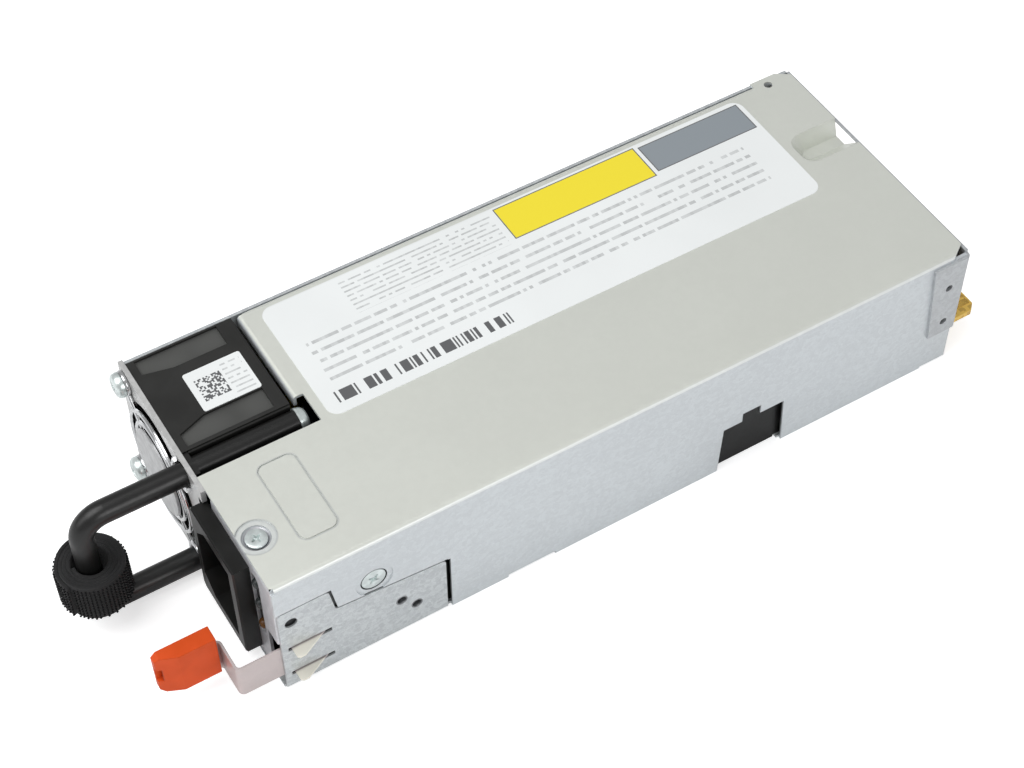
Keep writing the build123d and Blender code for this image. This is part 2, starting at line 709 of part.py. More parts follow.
# Mains inlet: flange, body and socket hollow with two clipped corners
inlet_front = front - inlet_t
flange = front_outline(
    [
        (inlet_x0, inlet_z0 + 1.4),
        (inlet_x0 + 1.0, inlet_z0),
        (inlet_x1, inlet_z0),
        (inlet_x1, inlet_z1),
        (inlet_x0 + 1.0, inlet_z1),
        (inlet_x0, inlet_z1 - 1.4),
    ],
    inlet_front,
    front,
)
flange = chamfer(flange.faces().sort_by(Axis.Y)[0].edges(), 0.4)


def socket_outline(grow):
    """The socket outline, with the two corners on the left clipped."""
    x0 = inlet_x - cavity_w / 2 - grow
    x1 = inlet_x + cavity_w / 2 + grow
    z0 = inlet_z - cavity_h / 2 - grow
    z1 = inlet_z + cavity_h / 2 + grow
    clip = cavity_clip + grow * 0.4
    return [(x0 + clip, z0), (x1, z0), (x1, z1), (x0 + clip, z1), (x0, z1 - clip), (x0, z0 + clip)]


inlet = flange + front_outline(socket_outline(inlet_wall), front - 1, front + inlet_back)
inlet = inlet - front_outline(socket_outline(0), inlet_front - 1, front + cavity_floor)
blade_half_w = blade_w / 2
blade_half_t = blade_t / 2
power_pins = []
blade_slots = []
pin_places = ((blade_x, inlet_z + blade_pitch / 2), (blade_x, inlet_z - blade_pitch / 2), (earth_x, inlet_z))
for x, z in pin_places:
    blade = slab(
        x - blade_half_w, x + blade_half_w,
        front - blade_tip, front + inlet_back,
        z - blade_half_t, z + blade_half_t,
    )
    blade = chamfer(blade.faces().sort_by(Axis.Y)[0].edges(), 0.5)
    tail = slab(x - 1.2, x + 1.2, front + inlet_back, front + blade_tail, z - 0.4, z + 0.4)
    power_pins.append(blade + tail)
    inlet = inlet - slab(
        x - blade_half_w, x + blade_half_w,
        front + 1, front + inlet_back + 1,
        z - blade_half_t, z + blade_half_t,
    )
save(inlet, "inlet_body")
save(Compound(children=power_pins[:2]), "inlet_power_pins")
save(power_pins[2], "inlet_earth_pin")

# Filter board behind the inlet
filter_y = front + blade_tail
filter_board = slab(3.4, 24.6, filter_y, filter_y + board_t, 2.0, 36.0)
save(filter_board, "filter_board")
disc_caps = []
for z in (26.4, 12.4):
    cap = round_y(4.2, 14.0, filter_y + board_t, filter_y + board_t + 3.2, z)
    disc_caps.append(chamfer(cap.edges().sort_by(Axis.Y)[-1], 0.9))
save(Compound(children=disc_caps), "safety_capacitors")

# Status lights: holder, two clear pipes, a fault lamp, and the small board behind them
holder_half = half_slot - slip_gap
holder = slab(
    light_x - holder_half, light_x + holder_half,
    front + 0.7, front + 6,
    light_slot_z0 + slip_gap, light_slot_z1 - slip_gap,
)
holder = soften(holder, Axis.Y, holder_half - 0.2)
holder_stop = slab(light_x - 2.6, light_x + 2.4, front + sheet_t, front + 3, light_slot_z0 - 0.8, light_slot_z1 + 0.8)
holder = holder + holder_stop
lamp_front = front - light_out
board_front = front + light_board_y
for z in (light_z_high, light_z_mid, light_z_low):
    holder = holder - slab(light_x - light_r, light_x + light_r, front - 1, front + 7, z - light_r, z + light_r)
save(holder, "light_holder")


def lamp(z, y1):
    """One round lens with a domed front, on a square shank that fills its opening in the holder."""
    shank = slab(light_x - light_r, light_x + light_r, front + 1.2, y1, z - light_r, z + light_r)
    nose = round_y(light_r, light_x, lamp_front, front + 1.2, z)
    nose = fillet(nose.edges().sort_by(Axis.Y)[0], light_r * 0.7)
    return shank + nose


chip_t = 0.8
pipes = [lamp(z, board_front - chip_t) for z in (light_z_high, light_z_mid)]
save(Compound(children=pipes), "light_pipes")
save(lamp(light_z_low, board_front), "fault_lamp")
chips = []
for z in (light_z_high, light_z_mid):
    chips.append(slab(light_x - 0.8, light_x + 0.8, board_front - chip_t, board_front, z - 0.6, z + 0.6))
save(Compound(children=chips), "status_chips")
light_board = slab(light_x - 2.6, light_x + 2.4, board_front, board_front + light_board_t, 5.0, 36.0)
light_board = light_board + slab(light_x - 2.6, light_x + 2.4, board_front, board_front + 1.0, 2.0, 5.0)
save(light_board, "light_board")

# Latch: fixed strip end with its rivets, springing strip with two teeth, and grip
strip_in = wall_in - strip_t
root = slab(strip_in, wall_in, front + flex_y, front + strip_end, strip_z0, strip_z1)
root = fillet(root.edges().filter_by(Axis.X).sort_by(Axis.Y)[-2:], 1.5)
rivets = []
for y, z in ((rivet_a_y, rivet_a_z), (rivet_b_y, rivet_b_z)):
    root = root - round_x(rivet_r + round_gap, strip_in - 1, wall_in + 1, front + y, z)
    pin = round_x(rivet_r, strip_in - 0.7, half_w - 0.2, front + y, z)
    rivets.append(pin + round_x(rivet_head_r, strip_in - 0.7, strip_in, front + y, z))
save(root, "latch_root")
save(Compound(children=rivets), "latch_rivets")
strip_mid = wall_in - strip_t / 2
strip_mid_z = (strip_z0 + strip_z1) / 2
strip_line = FilletPolyline(
    (strip_mid, front + flex_y, strip_mid_z),
    (strip_mid, front + strip_front + strip_t / 2, strip_mid_z),
    (strip_tongue_x, front + strip_front + strip_t / 2, strip_mid_z),
    (strip_tongue_x, front + strip_tongue_front, strip_mid_z),
    radius=strip_bend_r - strip_t / 2,
)
strip_face = Plane(
    origin=(strip_mid, front + flex_y, strip_mid_z),
    x_dir=(1, 0, 0),
    z_dir=(0, -1, 0),
) * Rectangle(strip_t, strip_z1 - strip_z0)
strip_body = sweep(strip_face, path=strip_line)
tooth = [
    (wall_in - 0.2, front + tooth_from),
    (half_w + tooth_out - 0.4, front + tooth_from + 0.2),
    (half_w + tooth_out, front + tooth_from + 0.8),
    (half_w + tooth_out, front + tooth_peak),
    (wall_in, front + tooth_to),
    (wall_in - 0.2, front + tooth_to),
]
for z0 in (strip_z0, strip_z1 - strip_t):
    strip_body = strip_body + plan_outline(tooth, z0, z0 + strip_t)
save(strip_body, "latch_spring")
grip_profile = [
    (front + grip_y1, grip_z0),
    (front + grip_y1, grip_z1),
    (front + grip_y0 + 1.2, grip_z1),
    (front + grip_y0, grip_z1 - 1.2),
    (front + grip_y0, grip_z0 + 1.2),
    (front + grip_y0 + 1.2, grip_z0),
]
grip = side_outline(grip_profile, grip_x0, grip_x1)
taper = plan_outline(
    [
        (grip_x1, front + grip_y0 + grip_taper),
        (grip_x1 + 1, front + grip_y0 + grip_taper),
        (grip_x1 + 1, front + grip_y0 - 1),
        (grip_x1 - 2.6, front + grip_y0 - 1),
        (grip_x1 - 2.2, front + grip_y0),
    ],
    grip_z0 - 1,
    grip_z1 + 1,
)
grip = grip - taper
tongue_half = strip_t / 2
grip = grip - slab(
    strip_tongue_x - tongue_half, strip_tongue_x + tongue_half,
    front + strip_tongue_front, front + grip_y1 + 1,
    strip_z0 - 2, strip_z1,
)
hole_z = (grip_z0 + grip_z1) / 2
grip = grip - slab(grip_x0 + 0.9, grip_x0 + 2.3, front + grip_y0 - 1, front + grip_y0 + 2.4, hole_z - 2.2, hole_z + 2.2)
save(grip, "latch_grip")

# Main board on posts, held by screws
board_top = board_z0 + board_t
main_board = slab(-board_half_w, board_half_w, front + board_from, front + board_to, board_z0, board_top)
main_board = main_board - slab(30, 40, front, front + 42, 0, 20)
posts = []
board_screws = []
for x, y in post_places:
    posts.append(round_z(post_r, x, front + y, sheet_t, board_z0))
    board_screws.append(
        chamfer(round_z(2.4, x, front + y, board_top, board_top + 1.4).edges().sort_by(Axis.Z)[-1], 0.5)
    )
save(main_board, "main_board")
save(Compound(children=posts), "board_posts")
save(Compound(children=board_screws), "board_screws")

# Output card with its contact strips, on copper bars above the main board
card_edge = rear + card_out
card = plan_outline(
    [
        (card_x0, front + card_from),
        (card_x1, front + card_from),
        (card_x1, card_edge - card_corner),
        (card_x1 - card_corner, card_edge),
        (card_x0 + card_corner, card_edge),
        (card_x0, card_edge - card_corner),
    ],
    card_low,
    card_top,
)
save(card, "output_card")
contacts = []
finger_pitch = (card_x1 - card_x0 - 2 * card_corner) / finger_count
for index in range(finger_count):
    x = card_x0 + card_corner + finger_pitch * (index + 0.5)
    for z0 in (card_top, card_low - finger_t):
        contacts.append(
            slab(x - finger_w / 2, x + finger_w / 2, card_edge - finger_l, card_edge - 0.6, z0, z0 + finger_t)
        )
save(Compound(children=contacts), "card_contacts")
bars = []
for x in (-22, -8, 6, 20):
    bars.append(slab(x - 4, x + 4, front + card_from + 1, front + card_from + 5, board_top, card_low))
save(Compound(children=bars), "copper_bars")

# Bulk capacitor lying along the case
bulk_r = 14.5
bulk = round_y(bulk_r, -18.6, front + 52, front + 98, board_top + bulk_r + round_gap)
bulk = chamfer(bulk.edges().filter_by(GeomType.CIRCLE), 1.0)
save(bulk, "bulk_capacitor")
rest = slab(-27.6, -9.6, front + 54, front + 58, board_top, board_top + 3.2)
rest = rest + slab(-27.6, -9.6, front + 92, front + 96, board_top, board_top + 3.2)
rest = rest - round_y(bulk_r + round_gap, -18.6, front + 40, front + 110, board_top + bulk_r + round_gap)
save(rest, "capacitor_rest")


def wound_ring(x, y, r_out, r_in, h, base_t):
    """A rounded winding on a ring, standing on its round base."""
    ring = round_z(r_out, x, y, board_top + base_t, board_top + base_t + h)
    ring = ring - round_z(r_in, x, y, 0, 60)
    return chamfer(ring.edges().filter_by(GeomType.CIRCLE), h * 0.15)


pfc_base_t = 1.5
save(wound_ring(14.0, front + 80, 13.0, 5.5, 15.0, pfc_base_t), "boost_choke")
save(round_z(12.0, 14.0, front + 80, board_top, board_top + pfc_base_t), "choke_base")
save(wound_ring(6.0, front + 52, 9.5, 4.2, 12.0, 0.0), "filter_choke")

# Film capacitor, relay and fuse near the inlet
film_cap = soften(slab(-33.0, -21.0, front + 36.5 - 3, front + 50.5, board_top, board_top + 20), Axis.Z, 1.0)
film_cap = film_cap - slab(-35, -26, front + 30, front + 41.5, 0, 50)
save(film_cap, "film_capacitor")
relay = soften(slab(-18.0, -8.0, front + 34, front + 50, board_top, board_top + 15), Axis.Z, 0.6)
save(relay, "relay")
fuse = soften(slab(18.0, 26.0, front + 54, front + 64, board_top, board_top + 9), Axis.Z, 0.8)
save(fuse, "fuse")

# Transformer: core halves round a wound bobbin
core = slab(-2.0, 26.0, front + 108, front + 134, board_top, board_top + 26)
core = core - slab(-3.0, 27.0, front + 113, front + 129, board_top + 6, board_top + 22)
core = soften(core, Axis.Z, 0.8)
save(core, "transformer_core")
winding = soften(slab(3.0, 21.0, front + 113, front + 129, board_top + 6, board_top + 22), Axis.X, 3.0)
bobbin = slab(1.8, 3.0, front + 113, front + 129, board_top + 6, board_top + 22)
bobbin = bobbin + slab(21.0, 22.2, front + 113, front + 129, board_top + 6, board_top + 22)
save(winding, "transformer_winding")
save(bobbin, "transformer_bobbin")

# Heat sinks: a plate with fins, one for each side of the transformer
sinks = []
for x, way in ((-33.0, 1), (31.0, -1)):
    spine = slab(x - 0.9, x + 0.9, front + 108, front + 146, board_top, 35.0)
    for index in range(7):
        z = 9.5 + index * 4.0
        if way > 0:
            spine = spine + slab(x, x + 7.0, front + 108, front + 146, z, z + 1.0)
        else:
            spine = spine + slab(x - 4.0, x, front + 108, front + 146, z, z + 1.0)
    sinks.append(spine)
save(sinks[0], "heat_sink_left")
save(sinks[1], "heat_sink_right")

# Control board standing on edge, with its chips
control = slab(-22.0, -20.4, front + 106, front + 148, board_top, 33.0)
save(control, "control_board")
control_chips = []
for y, z, size in ((112, 20, 7), (124, 22, 9), (138, 18, 6)):
    control_chips.append(slab(-20.4, -19.2, front + y, front + y + size, z, z + size))
save(Compound(children=control_chips), "control_chips")

# Output capacitors standing on the card
output_caps = []
for x in (-24, -13, -2, 9, 20):
    can = round_z(4.0, x, front + 168, card_top, card_top + 18)
    output_caps.append(chamfer(can.edges().sort_by(Axis.Z)[-1], 0.6))
save(Compound(children=output_caps), "output_capacitors")

# Rating label, left blank apart from colour blocks
label = slab(-33.5, 2.8, front + 32.7, front + 167.0, case_h, case_h + 0.12)
save(soften(label, Axis.Z, 3.0), "rating_label")
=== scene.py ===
"""Looks of a hot swap server power supply, dressed over its packed CAD frame."""

import logging
import math
from dataclasses import dataclass
from enum import Enum
from typing import Any, Callable, Optional, Sequence, Union

import bmesh
import bpy
from mathutils import Matrix, Vector


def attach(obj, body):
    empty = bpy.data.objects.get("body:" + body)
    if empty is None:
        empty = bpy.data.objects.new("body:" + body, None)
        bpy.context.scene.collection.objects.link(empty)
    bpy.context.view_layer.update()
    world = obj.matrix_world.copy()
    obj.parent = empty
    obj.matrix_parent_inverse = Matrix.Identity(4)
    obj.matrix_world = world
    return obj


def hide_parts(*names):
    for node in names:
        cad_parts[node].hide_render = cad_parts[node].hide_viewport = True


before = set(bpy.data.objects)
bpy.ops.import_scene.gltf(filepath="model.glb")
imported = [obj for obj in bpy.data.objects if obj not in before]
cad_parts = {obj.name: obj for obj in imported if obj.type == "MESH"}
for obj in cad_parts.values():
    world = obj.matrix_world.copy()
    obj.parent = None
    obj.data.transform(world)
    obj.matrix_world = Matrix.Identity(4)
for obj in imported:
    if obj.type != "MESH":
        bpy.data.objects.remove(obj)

log = logging.getLogger("power_supply")
MM = 0.001
PER_METRE = 1000.0
Colour = tuple[float, float, float]
Triple = tuple[float, float, float]
Span = tuple[float, float, float, float]
Rings = Sequence[tuple[float, float]]
Mesh = bmesh.types.BMesh
Edges = list[bmesh.types.BMEdge]
Verts = list[bmesh.types.BMVert]
Piece = bpy.types.Object
Material = bpy.types.Material
Number = Union[float, int, "Sock"]


def toned(colour: Colour, times: float, plus: float = 0.0) -> Colour:
    """A colour made darker or lighter, kept at 1 at most."""
    return tuple(min(1.0, part * times + plus) for part in colour)


# shader sockets


def rule(operation: str, doc: str) -> Callable[..., "Sock"]:
    """A method of Sock that runs one Math operation on it and on what follows."""

    def method(self: "Sock", *others: Number) -> "Sock":
        node = self.paint.node("ShaderNodeMath", dict(enumerate((self, *others))), operation=operation)
        return Sock(self.paint, node.outputs[0])

    method.__doc__ = doc
    return method


class Sock:
    """A material socket that takes part in arithmetic."""

    def __init__(self, paint: "Paint", out: Any) -> None:
        """Keeps the socket and the material that it belongs to."""
        self.paint = paint
        self.out = out

    __add__ = __radd__ = rule("ADD", "This plus other.")
    __sub__ = rule("SUBTRACT", "This less other.")
    __mul__ = rule("MULTIPLY", "This times other.")
    __truediv__ = rule("DIVIDE", "This over other.")
    __pow__ = rule("POWER", "This to a power.")
    __abs__ = rule("ABSOLUTE", "The distance from zero.")
    floor = rule("FLOOR", "The whole number below.")
    fraction = rule("FRACT", "The part past the whole number.")
    above = rule("GREATER_THAN", "One where this is above a level, and zero elsewhere.")
    below = rule("LESS_THAN", "One where this is below a level, and zero elsewhere.")
    most = rule("MAXIMUM", "The greater of two.")
    least = rule("MINIMUM", "The lesser of two.")

    def __rsub__(self, other: float) -> "Sock":
        """Other less this."""
        return self * -1.0 + other

    def within(self, low: float, high: float) -> "Sock":
        """One between two limits, and zero outside them."""
        return self.above(low) * self.below(high)

    def ease(self, low: float, high: float, to_low: float = 0.0, to_high: float = 1.0) -> "Sock":
        """Maps low..high smoothly onto to_low..to_high."""
        values = {"Value": self, "From Min": low, "From Max": high, "To Min": to_low, "To Max": to_high}
        node = self.paint.node("ShaderNodeMapRange", values, interpolation_type="SMOOTHSTEP")
        return Sock(self.paint, node.outputs[0])


class Paint:
    """Builds one material's nodes."""

    def __init__(self, name: str) -> None:
        """Starts an empty material."""
        self.material = bpy.data.materials.new(name)
        self.material.use_nodes = True
        self.tree = self.material.node_tree
        self.tree.nodes.clear()
        self.output = self.tree.nodes.new("ShaderNodeOutputMaterial")

    def feed(self, socket: Any, value: Any) -> None:
        """Sets one input, or links it to a Sock or a node's output."""
        if isinstance(value, Sock):
            self.tree.links.new(value.out, socket)
        elif isinstance(value, bpy.types.NodeSocket):
            self.tree.links.new(value, socket)
        elif isinstance(value, tuple) and len(value) == 3 and socket.type == "RGBA":
            socket.default_value = (*value, 1.0)
        else:
            socket.default_value = value

    def node(self, kind: str, inputs: Optional[dict[Any, Any]] = None, **settings: Any) -> Any:
        """Adds any other node.

        Args:
            kind: The node's type.
            inputs: Values or links by socket name or number.
            settings: Its own properties, set first.

        Returns:
            The node.
        """
        made = self.tree.nodes.new(kind)
        for key, value in settings.items():
            setattr(made, key, value)
        for key, value in (inputs or {}).items():
            self.feed(made.inputs[key], value)
        return made

    def place(self) -> Any:
        """The place on the object, in metres, in the frame of the part."""
        return self.node("ShaderNodeTexCoord").outputs["Object"]

    def stretched(self, scale: Triple, turn: float = 0.0) -> Any:
        """The place with each axis scaled, after a turn about Z in radians."""
        inputs = {"Vector": self.place(), "Rotation": (0.0, 0.0, turn), "Scale": scale}
        return self.node("ShaderNodeMapping", inputs).outputs[0]

    def axes(self) -> tuple[Sock, Sock, Sock]:
        """The place in millimetres along each axis."""
        split = self.node("ShaderNodeSeparateXYZ", {0: self.place()})
        x, y, z = (Sock(self, split.outputs[index]) for index in range(3))
        return x * PER_METRE, y * PER_METRE, z * PER_METRE

    def noise(self, per_mm: float, detail: float = 3.0, vector: Any = None, rough: float = 0.5) -> Sock:
        """Soft noise from 0 to 1, with per_mm waves in a millimetre and detail finer layers."""
        inputs = {
            "Vector": vector or self.place(),
            "Scale": per_mm * PER_METRE,
            "Detail": detail,
            "Roughness": rough,
        }
        return Sock(self, self.node("ShaderNodeTexNoise", inputs).outputs[0])

    def cells(self, per_mm: float, vector: Any = None) -> tuple[Sock, Any]:
        """Crystal-like cells: the distance to the nearest centre, and the cell's own colour."""
        inputs = {"Vector": vector or self.place(), "Scale": per_mm * PER_METRE}
        node = self.node("ShaderNodeTexVoronoi", inputs)
        return Sock(self, node.outputs["Distance"]), node.outputs["Color"]

    def chance(self, x: Number, y: Number, seed: Number) -> Sock:
        """A number from 0 to 1 that holds still while x, y and seed do."""
        place = self.node("ShaderNodeCombineXYZ", {0: x, 1: y, 2: seed})
        return Sock(self, self.node("ShaderNodeTexWhiteNoise", {0: place.outputs[0]}).outputs[0])

    def grey(self, colour: Any) -> Sock:
        """The first channel of a colour."""
        return Sock(self, self.node("ShaderNodeSeparateColor", {0: colour}).outputs[0])

    def blend(self, amount: Number, first: Any, second: Any) -> Any:
        """Mixes two colours, or their sockets, by the share of the second."""
        inputs = {0: amount, 6: first, 7: second}
        return self.node("ShaderNodeMix", inputs, data_type="RGBA").outputs[2]

    def bump(self, height: Number, depth_mm: float, strength: float = 1.0, under: Any = None) -> Any:
        """A normal from a height, where a height of 1 stands for depth_mm."""
        inputs = {"Height": height, "Distance": depth_mm * MM, "Strength": strength}
        if under is not None:
            inputs["Normal"] = under
        return self.node("ShaderNodeBump", inputs).outputs[0]

    def soft_edges(self, radius_mm: float) -> Any:
        """A normal that rounds the edges a little."""
        return self.node("ShaderNodeBevel", {"Radius": radius_mm * MM}, samples=4).outputs[0]

    def close(self, colour: Any, rough: Number, **others: Any) -> None:
        """Ends the material in one Principled shader; others are sockets with _ for a space."""
        named = {key.replace("_", " "): value for key, value in others.items()}
        named |= {"Base Color": colour, "Roughness": rough}
        self.end(self.node("ShaderNodeBsdfPrincipled", named))

    def end(self, shader: Any) -> None:
        """Takes a shader as the material's surface."""
        self.tree.links.new(shader.outputs[0], self.output.inputs[0])


# finishes


MADE: dict[str, Material] = {}
# Colour of the painted shade on faces inside the case.
INSIDE_SHADE_COLOUR: Colour = (0.02, 0.02, 0.021)
# Colour of the painted highlight along the fold beside the roof.
FOLD_HIGHLIGHT_COLOUR: Colour = (0.97, 0.98, 0.93)
# Colour of the painted shade in holes that lie open to the inside.
HOLE_SHADE_COLOUR: Colour = (0.012, 0.012, 0.012)


@dataclass(frozen=True)
class Finish:
    """A finish that is made once and put on nodes and pieces."""

    name: str
    colour: Colour

    def make(self, paint: Paint) -> None:
        """Builds the material's nodes."""
        raise NotImplementedError

    def on(self, *things: Union[str, Piece]) -> None:
        """Puts the finish on CAD nodes, by name, or on new pieces."""
        if self.name not in MADE:
            paint = Paint(self.name)
            self.make(paint)
            MADE[self.name] = paint.material
        for thing in things:
            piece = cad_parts[thing] if isinstance(thing, str) else thing
            piece.data.materials.clear()
            piece.data.materials.append(MADE[self.name])


@dataclass(frozen=True)
class ZincSheet(Finish):
    """Zinc-coated sheet steel with crystals, soft clouds and fine handling marks.

    Places are in millimetres in the frame of the part.

    Attributes:
        crystal: Crystals in a millimetre.
        marks: How much drawn grain and scratches show.
        speckle: How much glints and pits show.
        edge_mm: Radius of the softened edges.
        beyond: A second tone past a plane: axis, place, colour and how much of the first is left.
        beyond_in: A box that has the second tone too: x0, x1, y0, y1 and the lowest height.
        inside_dull: How dark the faces inside the case are.
        pressed: Outlines on the roof with a darker line: x0, x1, y0, y1 and corner radius.
        gaps: Places that lie open to the dark inside: x, y, z and radius.
        bend: Whether the fold beside the roof, at fold_x and fold_z, is worn bright.
        inside: Limits of the room inside the case along X, Y and Z.
        roof_z: Height above which a face counts as roof.
    """

    shade: Colour
    crystal: float = 0.9
    crystal_show: float = 0.25
    cloud_show: float = 0.3
    roughness: float = 0.42
    marks: float = 0.5
    metallic: float = 0.5
    speckle: float = 0.25
    edge_mm: float = 0.12
    painted_lit_tone: Optional[tuple[int, float, Colour, float]] = None
    painted_lit_box: Optional[tuple[float, float, float, float, float]] = None
    painted_inside_shade: float = 0.0
    groove_shade_outlines: tuple[tuple[float, float, float, float, float], ...] = ()
    painted_hole_shades: tuple[Span, ...] = ()
    painted_fold_highlight: bool = False
    inside: tuple[tuple[float, float], ...] = ((-35.8, 36.3), (-91.8, 91.9), (0.9, 33.0))
    fold_z: tuple[float, float] = (38.05, 38.65)
    fold_x: float = 36.2
    roof_z: float = 38.3

    def make(self, paint: Paint) -> None:
        """Builds the sheet's material."""
        places = paint.axes()
        _, cell = paint.cells(self.crystal, paint.stretched((1.0, 0.8, 1.0)))
        crystals = paint.grey(cell)
        _, fine = paint.cells(self.crystal * 3.1)
        clouds = paint.noise(0.045, 4.0)
        drawn = paint.noise(0.9, 2.0, paint.stretched((1.0, 0.06, 1.0)))
        scratch = paint.noise(1.6, 2.0, paint.stretched((0.05, 1.0, 0.4), 0.5)).ease(0.66, 0.72)
        tone = (crystals * 0.6 + paint.grey(fine) * 0.4) * self.crystal_show + clouds * self.cloud_show
        tone = (tone + drawn * 0.12 * self.marks) / (self.crystal_show + self.cloud_show + 0.12 * self.marks)
        glints = paint.noise(1.9, 3.0, rough=0.65).ease(0.6, 0.74)
        pits = paint.noise(1.5, 4.0, paint.stretched((1.0, 1.0, 1.3)), 0.7).ease(0.62, 0.76)
        # The darker tone serves the pits and the painted shade along the pressed grooves.
        bright, pit_and_groove_shade = toned(self.colour, 1.16), toned(self.shade, 0.72)
        colour = paint.blend(tone.ease(0.25, 0.8), self.shade, self.colour)
        colour = paint.blend(glints * self.speckle, colour, bright)
        colour = paint.blend(pits * self.speckle * 0.6, colour, pit_and_groove_shade)
        # Faces past the plane take a painted lit tone, lighter than the rest of the sheet.
        if self.painted_lit_tone:
            axis, level, other, left = self.painted_lit_tone
            past = places[axis].ease(level, level + 0.4)
            if self.painted_lit_box:
                x0, x1, y0, y1, low = self.painted_lit_box
                past = past.most(
                    places[0].within(x0, x1) * places[1].within(y0, y1) * places[2].above(low)
                )
            second = paint.blend((clouds - 0.5) * 0.5 + 0.5, toned(other, 0.93), other)
            colour = paint.blend(past * (1.0 - left), colour, second)
        # Painted shade darkens the faces inside the case.
        if self.painted_inside_shade:
            x, y, z = (place.within(*limits) for place, limits in zip(places, self.inside))
            colour = paint.blend(x * y * z * self.painted_inside_shade, colour, INSIDE_SHADE_COLOUR)
        # A painted highlight along the fold beside the roof.
        if self.painted_fold_highlight:
            fold_highlight_mask = places[2].within(*self.fold_z) * places[0].above(self.fold_x)
            colour = paint.blend(fold_highlight_mask * 0.5, colour, FOLD_HIGHLIGHT_COLOUR)
        # Painted shade along the grooves of the pressed outlines.
        for box in self.groove_shade_outlines:
            outline = self._outline(places, box) * places[2].above(self.roof_z)
            colour = paint.blend(outline * 0.42, colour, pit_and_groove_shade)
        # Painted shade fills the holes that lie open to the inside.
        for x, y, z, radius in self.painted_hole_shades:
            reach = (places[0] - x) ** 2.0 + (places[1] - y) ** 2.0 + (places[2] - z) ** 2.0
            colour = paint.blend(reach.below(radius * radius), colour, HOLE_SHADE_COLOUR)
        rough = self.roughness + (tone - 0.5) * 0.16
        rough = rough + scratch * 0.08 * self.marks - glints * 0.08 * self.speckle
        height = crystals * 0.35 + paint.noise(2.2, 2.0) * 0.3 - scratch * 0.2 * self.marks
        normal = paint.bump(height, 0.004, 0.35, paint.soft_edges(self.edge_mm))
        paint.close(colour, rough, Metallic=self.metallic, Normal=normal)

    def _outline(self, places: tuple[Sock, Sock, Sock], box: tuple[float, ...]) -> Sock:
        """One along the outline of a box with round corners, seen from above, and zero away from it."""
        x0, x1, y0, y1, radius = box
        across = abs(places[0] - (x0 + x1) / 2) - ((x1 - x0) / 2 - radius)
        along = abs(places[1] - (y0 + y1) / 2) - ((y1 - y0) / 2 - radius)
        outer = (across.most(0.0) ** 2.0 + along.most(0.0) ** 2.0) ** 0.5
        distance = outer + across.most(along).least(0.0) - radius
        return abs(distance).ease(0.12, 0.42, 1.0, 0.0)


@dataclass(frozen=True)
class Bright(Finish):
    """Plated, drawn or polished metal with a faint grain."""

    roughness: float = 0.2
    metallic: float = 1.0
    grain: float = 0.04
    per_mm: float = 3.0
    stretch: Triple = (1.0, 1.0, 1.0)
    edge_mm: float = 0.08

    def make(self, paint: Paint) -> None:
        """Builds the metal's material."""
        grain = paint.noise(self.per_mm, 3.0, paint.stretched(self.stretch))
        wear = paint.noise(0.5, 3.0)
        colour = paint.blend(wear.ease(0.35, 0.7), toned(self.colour, 0.8), self.colour)
        rough = self.roughness + (grain - 0.5) * 0.25 * self.roughness + wear * 0.04
        normal = paint.bump(grain, self.grain * 0.1, 0.4, paint.soft_edges(self.edge_mm))
        paint.close(colour, rough, Metallic=self.metallic, Normal=normal)


@dataclass(frozen=True)
class Moulded(Finish):
    """Moulded plastic with a fine spark-eroded grain.

    Attributes:
        grain: Depth of the grain, in millimetres.
        per_mm: Grains in a millimetre.
        fleck: How much the dust shows.
        edge_mm: Radius of the softened edges, in millimetres.
        gloss: Level of the mirroring.
        sunk: Lowest and highest place of dusty recesses, in millimetres, and their tone.
    """

    roughness: float = 0.45
    grain: float = 0.006
    per_mm: float = 3.5
    fleck: float = 0.1
    edge_mm: float = 0.2
    gloss: float = 0.42
    sunk: Optional[tuple[float, float, Colour]] = None

    def make(self, paint: Paint) -> None:
        """Builds the plastic's material."""
        grain = paint.noise(self.per_mm, 3.0)
        broad = paint.noise(0.12, 3.0)
        dust = paint.noise(2.6, 4.0, rough=0.7).ease(0.64, 0.74)
        pale = toned(self.colour, 1.3, 0.012)
        colour = paint.blend(broad.ease(0.3, 0.75) * 0.5 + dust * self.fleck, self.colour, pale)
        if self.sunk:
            low, high, tone = self.sunk
            patches = paint.noise(0.05, 2.0).ease(0.15, 0.55)
            colour = paint.blend(paint.axes()[2].within(low, high) * patches, colour, tone)
        rough = self.roughness + (grain - 0.5) * 0.14 + (broad - 0.5) * 0.1
        normal = paint.bump(grain, self.grain, 0.7, paint.soft_edges(self.edge_mm))
        paint.close(colour, rough, Specular_IOR_Level=self.gloss, Normal=normal)


@dataclass(frozen=True)
class PowderCoat(Finish):
    """Black powder coat with a soft orange-peel and pale dust in it."""

    pale: Colour = (0.11, 0.11, 0.105)

    def make(self, paint: Paint) -> None:
        """Builds the coat's material."""
        peel = paint.noise(0.9, 3.0)
        fine = paint.noise(4.5, 2.0)
        specks = paint.noise(3.2, 3.0, rough=0.75).ease(0.66, 0.76)
        colour = paint.blend(specks * 0.55, self.colour, self.pale)
        rough = 0.27 + peel * 0.14 + specks * 0.12
        normal = paint.bump(peel * 0.6 + fine * 0.4, 0.012, 0.55)
        paint.close(colour, rough, Normal=normal)


@dataclass(frozen=True)
class Lens(Finish):
    """A small moulded lens."""

    def make(self, paint: Paint) -> None:
        """Builds the lens's material."""
        cloud = paint.noise(0.8, 2.0)
        colour = paint.blend(cloud, toned(self.colour, 0.72), self.colour)
        paint.close(colour, 0.16 + cloud * 0.1, IOR=1.5, Specular_IOR_Level=0.35)


